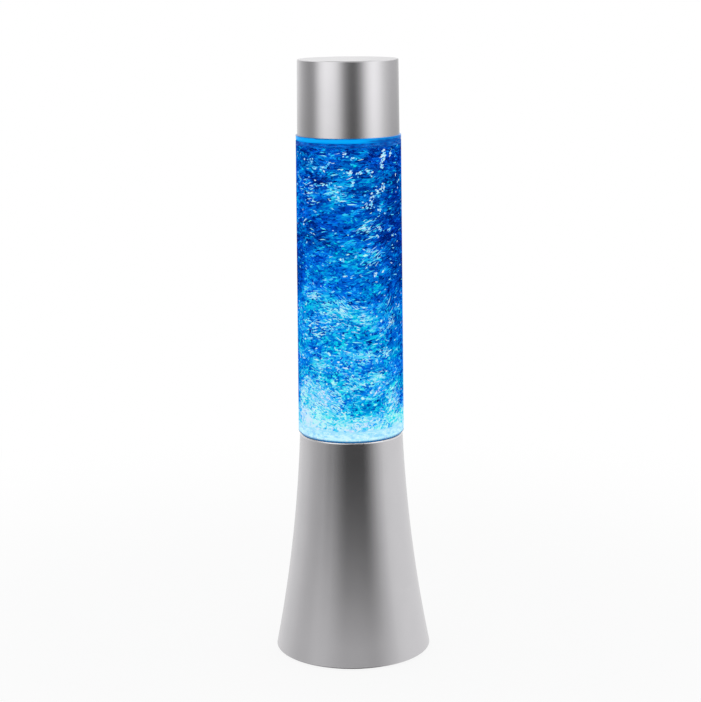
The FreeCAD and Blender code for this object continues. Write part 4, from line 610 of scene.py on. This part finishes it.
def foil(name, material, angle, height, depth, length, breadth, tilt, light, hue, seed):
    """One mesh of slivers. depth is how far each lies in from the bore, and sizes are in
    millimetres. The material reads their light and hue, which are also the bake's map."""
    draw = np.random.default_rng(seed)
    thick, margin = 0.14, 0.12
    bore_radius = BORE_FOOT - BORE_TAPER * (height - TUBE_FOOT) / (TUBE_TOP - TUBE_FOOT)
    radius = np.sqrt((bore_radius - margin) ** 2 - (length / 2) ** 2) - 0.18 - depth
    count = len(angle)
    corner_at = SLIVER_AT + draw.uniform(-0.12, 0.12, (count, 4, 2))
    along = corner_at[:, :, 0] * length[:, None]
    across = corner_at[:, :, 1] * breadth[:, None]
    level = along * np.cos(tilt)[:, None] - across * np.sin(tilt)[:, None]
    rise = along * np.sin(tilt)[:, None] + across * np.cos(tilt)[:, None]
    out = radius[:, None] + np.array([0.0, 0.0, thick, -thick])
    sine, cosine = np.sin(angle)[:, None], np.cos(angle)[:, None]
    points = np.stack([
        out * sine + level * cosine, level * sine - out * cosine, height[:, None] + rise,
    ], axis=2) / 1000
    faces = sliver_faces[None] + 4 * np.arange(count)[:, None, None]
    mesh = bpy.data.meshes.new(name)
    mesh.from_pydata(points.reshape(-1, 3), [], faces.reshape(-1, 3))
    piece = bpy.data.objects.new(name, mesh)
    bpy.context.scene.collection.objects.link(piece)
    piece.data.materials.append(material)
    glint = np.clip(light[:, None] + draw.uniform(-0.03, 0.03, (count, 4)), 0.0, 1.0).ravel()
    tint = np.clip(hue[:, None] + draw.uniform(-0.02, 0.02, (count, 4)), 0.0, 1.0).ravel()
    mesh.attributes.new("glint", "FLOAT", "POINT").data.foreach_set("value", glint)
    mesh.attributes.new("tint", "FLOAT", "POINT").data.foreach_set("value", tint)
    edit(piece)
    bpy.ops.mesh.normals_make_consistent(inside=False)
    bpy.ops.object.mode_set(mode="OBJECT")
    corner_vertex = np.empty(len(mesh.loops), dtype=np.int32)
    mesh.loops.foreach_get("vertex_index", corner_vertex)
    spread = [[-0.004, 0.0], [0.004, 0.001], [0.001, 0.004], [-0.001, -0.004]]
    flat = 0.01 + 0.98 * np.stack([glint, tint], 1) + np.tile(spread, (count, 1))
    mesh.uv_layers.new(name="OFBake").uv.foreach_set("vector", flat[corner_vertex].ravel())
    return piece


def foil_finish(name, clear, milky):
    """Lit foil: each sliver's glint runs up two ramps, and its tint goes between them."""
    lit = Finish(name)
    glint = lit.node("ShaderNodeAttribute", {"attribute_name": "glint"}, output="Fac")
    tint = lit.node("ShaderNodeAttribute", {"attribute_name": "tint"}, output="Fac")
    return lit.surface({
        "Base Color": (0.0, 0.005, 0.01),
        "Roughness": 0.4,
        "Specular IOR Level": 0.0,
        "Emission Color": lit.mix(tint, lit.ramp(glint, clear), lit.ramp(glint, milky)),
        "Emission Strength": 1.0,
    })


CLEAR_BLUES = [
    (0.0, tone(0, 26, 106)), (0.15, tone(0, 55, 150)), (0.30, tone(0, 90, 188)),
    (0.45, tone(0, 131, 209)), (0.60, tone(0, 176, 225)), (0.75, tone(0, 214, 233)),
    (0.88, tone(58, 234, 241)), (1.0, tone(184, 254, 249)),
]
MILKY_BLUES = [
    (0.0, tone(0, 22, 108)), (0.15, tone(0, 46, 162)), (0.30, tone(0, 76, 204)),
    (0.45, tone(4, 103, 235)), (0.60, tone(14, 140, 252)), (0.75, tone(58, 178, 255)),
    (0.88, tone(142, 204, 255)), (1.0, tone(219, 232, 255)),
]
CLOUDS = [
    (-52, 345, 12, 4, -0.30), (31, 337, 12, 7, -0.28), (-29, 342, 7, 3, -0.14),
    (-34, 325.5, 14, 5, -0.33), (36, 322, 9, 7, -0.17), (-15, 316, 12, 6, 0.23),
    (43, 309, 7, 4, 0.27), (4, 306, 12, 6, 0.24), (20, 295, 15, 5, 0.24),
    (24, 280, 13, 6, 0.14), (-1, 281, 12, 7, 0.22), (-50, 290, 16, 9, -0.17),
    (62, 300, 16, 60, -0.16), (-12, 263, 12, 5, 0.07), (29, 267, 9, 6, -0.12),
    (-55, 250, 10, 6, 0.32), (-30, 252, 9, 8, 0.24), (-8, 242, 9, 6, 0.14),
    (-43, 239, 5, 3, 0.22), (-11, 232, 10, 5, -0.20), (-29, 225, 9, 6, -0.30),
    (22, 234, 18, 5, 0.20), (55, 232, 10, 22, -0.24), (6, 224, 7, 5, -0.10),
    (50, 216, 12, 6, -0.18), (40, 205, 12, 12, -0.14), (14, 209, 13, 4, 0.32),
    (-24, 209, 12, 4, 0.18), (22, 194, 14, 4.5, 0.28), (-42, 199, 10, 7, 0.24),
    (-30, 217, 16, 4, -0.08), (28, 186, 14, 5, 0.16), (-45, 178, 22, 14, 0.30),
    (15, 172, 22, 8, -0.14), (50, 178, 8, 10, 0.20), (65, 180, 7, 9, -0.14),
    (-6, 178, 8, 5, -0.28), (17, 178, 8, 4, 0.24), (82, 248, 17, 26, -0.42),
    (84, 204, 15, 15, -0.28), (84, 179, 13, 10, -0.26), (85, 290, 12, 14, -0.16),
    (-82, 264, 14, 18, -0.20), (-72, 234, 12, 9, 0.22), (-75, 182, 16, 12, 0.24),
]
MOSAIC_COUNT = 46000
MOSAIC_FOOT, MOSAIC_TALL = 159.0, 185.3
mosaic_draw = np.random.default_rng(11)
angle = mosaic_draw.uniform(-np.pi, np.pi, MOSAIC_COUNT)
height = MOSAIC_FOOT + mosaic_draw.uniform(0, 1, MOSAIC_COUNT) * MOSAIC_TALL
lamp_light = np.interp(height, [158, 165, 174, 200, 238, 262, 300, 344],
                       [0.97, 0.92, 0.65, 0.57, 0.55, 0.37, 0.31, 0.30])
cloudy = np.interp(height, [175, 200, 240, 262], [0.9, 0.65, 0.70, 1.0])
clouds = (drifts(angle, height, CLOUDS) + 0.07 * waves(angle, height, 5, 0.16, 3)
          + 0.11 * waves(angle, height, 12, 0.7, 4))
ripples = np.interp(height, [158, 170], [0.06, 0.098]) * waves(angle, height, 34, 2.0, 7)
busy = np.interp(height, [158, 166, 175, 250, 268], [0.11, 0.145, 0.165, 0.155, 0.14])
sparkle = busy * mosaic_draw.normal(0, 1, MOSAIC_COUNT)
light = np.clip(lamp_light + cloudy * clouds + ripples + sparkle, 0.0, 1.0)
swirl = drifts(angle, height, [
    (58, 240, 22, 26, 48), (-8, 240, 14, 12, -36), (30, 290, 26, 26, 16), (-42, 186, 20, 10, -26),
    (14, 206, 12, 6, -18), (48, 205, 14, 12, 30), (-50, 325, 22, 20, -8),
])
wild = np.interp(height, [190, 250, 300], [26, 16, 10])
tilt = np.radians(swirl + 5 * waves(angle, height, 4, 0.1, 5)
                  + wild * mosaic_draw.normal(0, 1, MOSAIC_COUNT))
calm = np.interp(height, [200, 290], [0.66, 1.0])
length = (calm * mosaic_draw.gamma(5.0, 0.70, MOSAIC_COUNT)).clip(1.3, 8.0)
breadth = mosaic_draw.uniform(0.8, 1.7, MOSAIC_COUNT) * (1.8 - 0.8 * calm)
depth = 2.3 * mosaic_draw.uniform(0, 1, MOSAIC_COUNT) ** 1.2
hue = (0.42 + 0.32 * waves(angle, height, 7, 0.35, 6)
       + mosaic_draw.normal(0, 0.22, MOSAIC_COUNT)).clip(0, 1)
mosaic = foil("glitter_mosaic", foil_finish("blue_foil", CLEAR_BLUES, MILKY_BLUES),
              angle, height, depth, length, breadth, tilt, light, hue, seed=12)
place_on(mosaic, "base", "flake_foil", "glitter_flakes")


# Brightest flakes: painted glints, white specks in clusters where the foil is crumpled, and
# pale slivers that the whirl has drawn out. They drift close to the tube's bore, over the blue
# ones.
SPECKS = [
    (43, 339, 2.6, 3.4, 22), (41, 334, 1.6, 3.0, 14), (56, 341, 3.2, 2.2, 9),
    (2, 329.5, 3.0, 1.4, 14), (10, 328.5, 3, 1.2, 9), (20, 330, 3, 1.0, 9),
    (26, 329, 2.4, 1.6, 7), (-30, 332, 4.4, 1.2, 12), (-42, 331.5, 3, 1.0, 5),
    (4, 322.5, 1.6, 3.0, 12), (42, 319, 3, 2.4, 12), (34, 316, 3.0, 2, 12),
    (28, 314, 2.4, 1.6, 6), (26, 310, 1.8, 3.4, 12), (20, 308.5, 2.2, 1.8, 8),
    (38, 304, 2.4, 2.0, 9), (-4, 341, 3, 1.6, 5), (3, 338.5, 2, 1.2, 3),
    (-20, 322, 9, 4, 8), (37, 292.5, 3, 1.4, 6), (33, 288, 2.4, 1.4, 4),
    (52, 291, 3, 1.2, 5), (-9, 273, 3.4, 1.0, 7), (-4, 262, 2.4, 1.2, 4),
    (30, 262, 4, 2.2, 6), (-14, 316, 8, 3, 8), (-50, 337, 5, 2, 5), (45, 343, 3, 1, 3),
]
STREAKS = [
    (-8, 240, 7, 7, 120, -36), (-26, 240, 12, 6, 70, -14), (-48, 249, 10, 2.5, 50, 4),
    (18, 235, 12, 4, 60, 8), (50, 232, 10, 9, 50, 46), (-45, 226, 12, 8, 50, 10),
    (14, 209, 9, 2.5, 80, -16), (43, 210, 6, 3, 40, 12), (32, 194, 10, 4, 90, -6),
    (2, 191, 10, 5, 70, -24), (-38, 203, 14, 5, 70, 0), (-50, 184, 16, 9, 260, -18),
    (-28, 176, 14, 8, 220, -28), (62, 178, 9, 9, 120, 30), (5, 166, 40, 3, 120, 0),
    (22, 294, 12, 5, 50, 18), (26, 274, 12, 8, 50, 22), (-15, 316, 12, 5, 40, 0),
    (-50, 318, 12, 8, 40, 4), (0, 230, 40, 14, 90, 0), (0, 190, 50, 18, 100, 0),
]
speck_draw = np.random.default_rng(21)


def strewn(places, tilts, loose_count):
    """Draws flakes at the clusters, front and back, and then loose ones all round. A
    cluster is degrees to the right, height and half sizes in millimetres, and number."""
    found = []
    for place, lean in zip(places, tilts):
        at, up, wide, tall, count = place[:5]
        for side in (0, 180):
            found.append(np.stack([
                np.radians(at + side + wide * speck_draw.normal(0, 0.6, count)),
                up + tall * speck_draw.normal(0, 0.6, count),
                np.radians(lean + speck_draw.normal(0, 12, count)),
            ]))
    loose = np.stack([
        speck_draw.uniform(-np.pi, np.pi, loose_count),
        speck_draw.uniform(161, 343, loose_count),
        np.radians(speck_draw.normal(0, 16, loose_count)),
    ])
    angle, height, tilt = np.concatenate([*found, loose], axis=1)
    return angle, height.clip(160.5, 343.0), tilt


# Painted glints: these specks glow white where the foil throws the lamp's light back.
white_glint_foil = foil_finish("white_glint_foil", [
    (0.0, tone(0, 196, 252)), (0.5, tone(96, 226, 255)), (1.0, tone(206, 248, 255)),
], [
    (0.0, tone(56, 180, 250)), (0.5, tone(150, 212, 252)), (1.0, tone(238, 242, 246)),
])
LOOSE_SPECKS = 220
angle, height, tilt = strewn(SPECKS, [place[0] / 2 for place in SPECKS], LOOSE_SPECKS)
count = len(angle)
specks = foil(
    "glitter_specks", white_glint_foil, angle, height,
    depth=np.full(count, 0.05),
    length=speck_draw.uniform(0.9, 2.5, count),
    breadth=speck_draw.uniform(0.7, 1.7, count),
    tilt=tilt + speck_draw.normal(0, 0.5, count),
    light=speck_draw.uniform(0.1, 1.0, count),
    hue=speck_draw.uniform(0.0, 1.0, count),
    seed=22,
)
place_on(specks, "base", "flake_foil", "glitter_flakes")

# Painted glints: these slivers glow pale where the foil throws the lamp's light back.
pale_glint_foil = foil_finish("pale_glint_foil", [
    (0.0, tone(0, 189, 236)), (0.5, tone(42, 224, 242)), (1.0, tone(176, 254, 250)),
], [
    (0.0, tone(38, 168, 254)), (0.5, tone(114, 202, 255)), (1.0, tone(215, 230, 255)),
])
LOOSE_STREAKS = 640
angle, height, tilt = strewn(STREAKS, [place[5] for place in STREAKS], LOOSE_STREAKS)
count = len(angle)
in_cluster = np.arange(count) < count - LOOSE_STREAKS
long_share = speck_draw.uniform(0, 1, count) ** np.where(in_cluster, 1.3, 2.0)
streaks = foil(
    "glitter_streaks", pale_glint_foil, angle, height,
    depth=speck_draw.uniform(0.05, 0.4, count),
    length=1.8 + 6.0 * long_share,
    breadth=speck_draw.uniform(0.45, 1.0, count),
    tilt=tilt,
    light=speck_draw.uniform(0.1, 1.0, count),
    hue=speck_draw.uniform(0.0, 0.9, count),
    seed=23,
)
place_on(streaks, "base", "flake_foil", "glitter_flakes")


# Top plug: the clear moulded lid of the tube, on a flat translucent seal, with the
# filling hole's screw and washer. The light that climbs the tube leaves by its rim.
plug = Finish("lit_plug")
plug_height = plug.along("Z")
plug_mottle = plug.step(plug.noise(1.0, detail=4.0, stretch=(190.0, 190.0, 700.0)), 0.36, 0.70)
plug_drift = plug.noise(55.0, detail=1.0)
plug_edge = plug.noise(160.0, detail=3.0) * 0.0012 + plug_drift * 0.0016
plug_foot = plug.step(plug_height, 0.3483, 0.3478)
plug_top = plug.step(plug_height, 0.3508, 0.3514)
plug_high = plug.step(plug_height, 0.3492, 0.3508)
# Painted light: the rim's glow is painted dimmer towards the right.
plug_dim = plug.step(plug.along("X"), 0.006, 0.025)
rim_rise = plug.node("ShaderNodeMapRange", {}, {
    "Value": plug_height - plug_edge + 0.0012 - plug_dim * 0.0012,
    "From Min": 0.345,
    "From Max": 0.3515,
})
# The rim's glow is painted by height: bright in a band, with a painted shadow, a dark line at its
# top under the cap.
rim_glow_and_cap_shadow = plug.ramp(rim_rise, [
    (0.0, tone(0, 44, 138)), (0.36, tone(0, 56, 156)), (0.44, tone(0, 130, 228)),
    (0.56, tone(0, 172, 252)), (0.80, tone(0, 160, 250)), (0.87, tone(0, 80, 150)),
    (1.0, tone(0, 62, 122)),
])
rim_cloud = plug.mix(plug_drift, tone(40, 196, 240), tone(0, 140, 236))
glowing = plug.mix(plug_foot, rim_cloud, tone(0, 122, 232))
clouded = plug_mottle * (0.35 + plug_foot * 0.45 - plug_top * 0.29)
bright_rim = plug.mix(clouded, rim_glow_and_cap_shadow, glowing)
dimmed_rim_glow = plug.mix(plug_mottle, tone(0, 64, 160), tone(14, 116, 208))
dress("top_plug", plug.surface({
    "Base Color": (0.0, 0.01, 0.02),
    "Roughness": 0.16 + plug_mottle * 0.08,
    "Specular IOR Level": 0.05,
    "Emission Color": plug.mix(plug_dim * (0.95 - plug_high * 0.35), bright_rim, dimmed_rim_glow),
    "Coat Weight": plug_top * 0.7,
    "Emission Strength": 1.0,
}))
# The plug seal's glow is painted light, as the plug's, and painted dimmer towards the right.
ring = Finish("lit_plug_seal")
ring_mottle = ring.noise(300.0)
ring_dim = ring.step(ring.along("X"), 0.006, 0.025)
dress("plug_seal", ring.surface({
    "Base Color": (0.0, 0.02, 0.03),
    "Roughness": 0.4 + ring_mottle * 0.1,
    "Specular IOR Level": 0.0,
    "Emission Color": ring.mix(ring_dim,
                               ring.mix(ring_mottle, tone(0, 140, 232), tone(10, 168, 250)),
                               ring.mix(ring_mottle, tone(0, 58, 156), tone(8, 104, 204))),
    "Emission Strength": 1.0,
}))
dress("fill_washer", moulded("washer_rubber", (0.03, 0.05, 0.09), 0.6))
dress("fill_plug", moulded("fill_plug_plastic", (0.80, 0.81, 0.80), 0.34))


# Top cap: a plain silver pot, painted like the base and pushed over the plug's collar,
# which a black ribbed sleeve inside it grips.
dress("top_cap", silver_paint("cap_paint", marks=0.0, rim=0.5))
dress("cap_sleeve", moulded("sleeve_plastic", (0.035, 0.035, 0.037), 0.45))


# Leads: thin stranded wire in soft red and black insulation, soldered at both ends. They
# run from the board to the motor and from the contacts to the board.
wire = Finish("lead_insulation")
wire_grain = wire.noise(800.0)
wire_side = wire.step(wire.along("X"), -0.0002, 0.0002)
insulation = wire.surface({
    "Base Color": wire.mix(wire_side, (0.03, 0.03, 0.032), (0.50, 0.03, 0.03)),
    "Roughness": 0.38 + wire_grain * 0.12,
    "Normal": wire.bump(wire_grain, 8e-6),
})
dress("motor_leads", insulation)
dress("battery_leads", insulation)


# Studio floor: plain, pale and matt, and it fades into the white background. It is open
# under the lamp and clear from below, and metal mirrors the room in its place.
FLOOR_RADIUS, FLOOR_BREADTH = 0.75, 0.7015
bpy.ops.object.select_all(action="DESELECT")
bpy.ops.mesh.primitive_circle_add(vertices=128, radius=FLOOR_RADIUS, fill_type="NGON")
floor = bpy.context.object
floor.name = "studio_floor"
edit(floor)
bpy.ops.mesh.inset(thickness=FLOOR_BREADTH)
bpy.ops.mesh.delete(type="FACE")
bpy.ops.object.mode_set(mode="OBJECT")
pale = Finish("pale_floor")
away = pale.node("ShaderNodeVectorMath", {"operation": "LENGTH"}, {0: pale.place}, output="Value")
direct = pale.node("ShaderNodeLightPath", output="Is Camera Ray")
mirrored = pale.node("ShaderNodeLightPath", output="Is Glossy Ray")
through = pale.node("ShaderNodeLightPath", output="Is Transmission Ray")
fade = pale.step(away, 0.16, 0.62)
white_share = direct.maths("MAXIMUM", direct, through) * (0.88 + fade * 0.12)
board_light = pale.node("ShaderNodeEmission", {}, {"Color": (1.0, 1.0, 1.0), "Strength": 1.0})
board_paint = pale.node("ShaderNodeBsdfPrincipled", {}, {
    "Base Color": pale.mix(pale.noise(30.0), (0.86, 0.86, 0.86), (0.90, 0.90, 0.90)),
    "Roughness": 0.7,
    "Specular IOR Level": 0.2,
})
board = pale.node("ShaderNodeMixShader", {}, {0: white_share, 1: board_paint, 2: board_light})
open_air = pale.node("ShaderNodeBsdfTransparent")
from_below = pale.node("ShaderNodeNewGeometry", output="Backfacing")
see_through = mirrored.maths("MAXIMUM", mirrored, from_below)
seen_floor = pale.node("ShaderNodeMixShader", {}, {0: see_through, 1: board, 2: open_air})
pale.node("ShaderNodeOutputMaterial", {}, {"Surface": seen_floor})
floor.data.materials.append(pale.made)


# Studio room: soft light from all round and above, white to the camera. The metal mirrors
# it as paler and darker sides, and a dark patch straight overhead tones the cap's top.
def bearing(east, north):
    """0 to 1 once round the lamp, and 0.5 towards the camera."""
    return east.maths("ARCTAN2", east, north * -1.0) / (2 * math.pi) + 0.5


def round_the_room(finish, turn, levels):
    """Brightness by bearing: degrees to the right of the camera as seen by the lamp."""
    return finish.ramp(turn, [((degrees + 180) / 360, (grey,) * 3) for degrees, grey in levels])


studio = Finish("studio_world", world=True)
direction = studio.node("ShaderNodeTexCoord", output="Generated")
east, north, up = (studio.node("ShaderNodeSeparateXYZ", {}, {"Vector": direction}, output=axis)
                   for axis in "XYZ")
turn = bearing(east, north)
lit = round_the_room(studio, turn, [
    (-180, 0.80), (-140, 0.74), (-110, 0.63), (-92, 0.575), (-75, 0.58), (-55, 0.67),
    (-25, 0.71), (45, 0.70), (62, 0.715), (95, 0.75), (130, 0.77), (180, 0.80),
])
core = round_the_room(studio, turn, [
    (-180, 0.0), (-60, 0.0), (-42, 0.22), (-28, 0.60), (-14, 0.98), (-4, 1.0), (26, 1.0),
    (38, 0.83), (54, 0.40), (74, 0.04), (88, 0.0), (180, 0.0),
])
shoulder = round_the_room(studio, turn, [
    (-180, 0.0), (-112, 0.0), (-92, 0.22), (-68, 0.68), (-50, 1.0), (-32, 0.62), (-15, 0.02),
    (0, 0.0), (180, 0.0),
])
darkness = (core * (1.0 - studio.step(up, -0.10, 0.055)) * 0.98
            + shoulder * (1.0 - studio.step(up, -0.16, -0.045)) * 0.60)
walls = studio.mix(1.0, (0.0, 0.0, 0.0), lit * (1.0 - darkness))
ceiling = studio.mix(studio.step(up, 0.78, 0.93), (1.0, 1.0, 1.0), (0.42, 0.42, 0.42))
room = studio.mix(studio.step(up, 0.16, 0.56), walls, ceiling)
direct = studio.node("ShaderNodeLightPath", output="Is Camera Ray")
through = studio.node("ShaderNodeLightPath", output="Is Transmission Ray")
shown = studio.mix(direct.maths("MAXIMUM", direct, through), room, (1.0, 1.0, 1.0))
backdrop = studio.node("ShaderNodeBackground", {}, {"Color": shown, "Strength": 1.0})
studio.node("ShaderNodeOutputWorld", {}, {"Surface": backdrop})
bpy.context.scene.world = studio.made


# Light screen: a round white cloth hung about the cap's height, lit in bands. It is seen
# only as the bands that the cap and the base mirror.
bpy.ops.object.select_all(action="DESELECT")
bpy.ops.mesh.primitive_cylinder_add(vertices=96, radius=0.6, depth=0.29, end_fill_type="NOTHING",
                                    location=(0, 0, 0.395))
screen = bpy.context.object
bpy.ops.object.transform_apply(location=True, rotation=True, scale=True)
screen.name = "light_screen"
cloth = Finish("screen_cloth")
bands = round_the_room(cloth, bearing(cloth.along("X"), cloth.along("Y")), [
    (-180, 0.75), (-151, 0.66), (-125, 0.44), (-109, 0.33), (-95, 0.26), (-83, 0.28), (-74, 0.46),
    (-62, 0.78), (-50, 0.91), (-43, 0.89), (-33, 0.85), (-25, 0.74), (-15, 0.47), (-7, 0.25),
    (2, 0.13), (10, 0.09), (18, 0.13), (27, 0.27), (36, 0.54), (45, 0.80), (55, 0.94), (65, 0.91),
    (75, 0.78), (86, 0.61), (100, 0.49), (113, 0.43), (140, 0.41), (163, 0.55), (180, 0.75),
])
screen_rise = cloth.step(cloth.along("Z"), 0.28, 0.37)
screen_glow = cloth.node("ShaderNodeEmission", {}, {
    "Color": cloth.mix(screen_rise * 0.22 + 0.78, (0.0, 0.0, 0.0), bands), "Strength": 1.24,
})
cloth.node("ShaderNodeOutputMaterial", {}, {"Surface": screen_glow})
screen.data.materials.append(cloth.made)
screen.visible_camera = False
screen.visible_diffuse = False
screen.visible_shadow = False
screen.visible_transmission = False


# Camera: as in the photograph, in front of the lamp, a little above it and looking down,
# with a slight roll.
LOOKS_DOWN, ROLL = 11.8, -0.57
camera = bpy.data.objects.new("camera", bpy.data.cameras.new("camera"))
camera.data.lens = 93.8
camera.data.sensor_width = 36.0
camera.location = (0.0, -1.2, 0.457)
pitched = Matrix.Rotation(math.radians(90 - LOOKS_DOWN), 3, "X")
camera.rotation_euler = (pitched @ Matrix.Rotation(math.radians(ROLL), 3, "Z")).to_euler()
bpy.context.scene.collection.objects.link(camera)
bpy.context.scene.camera = camera
bpy.context.scene.view_settings.view_transform = "Standard"
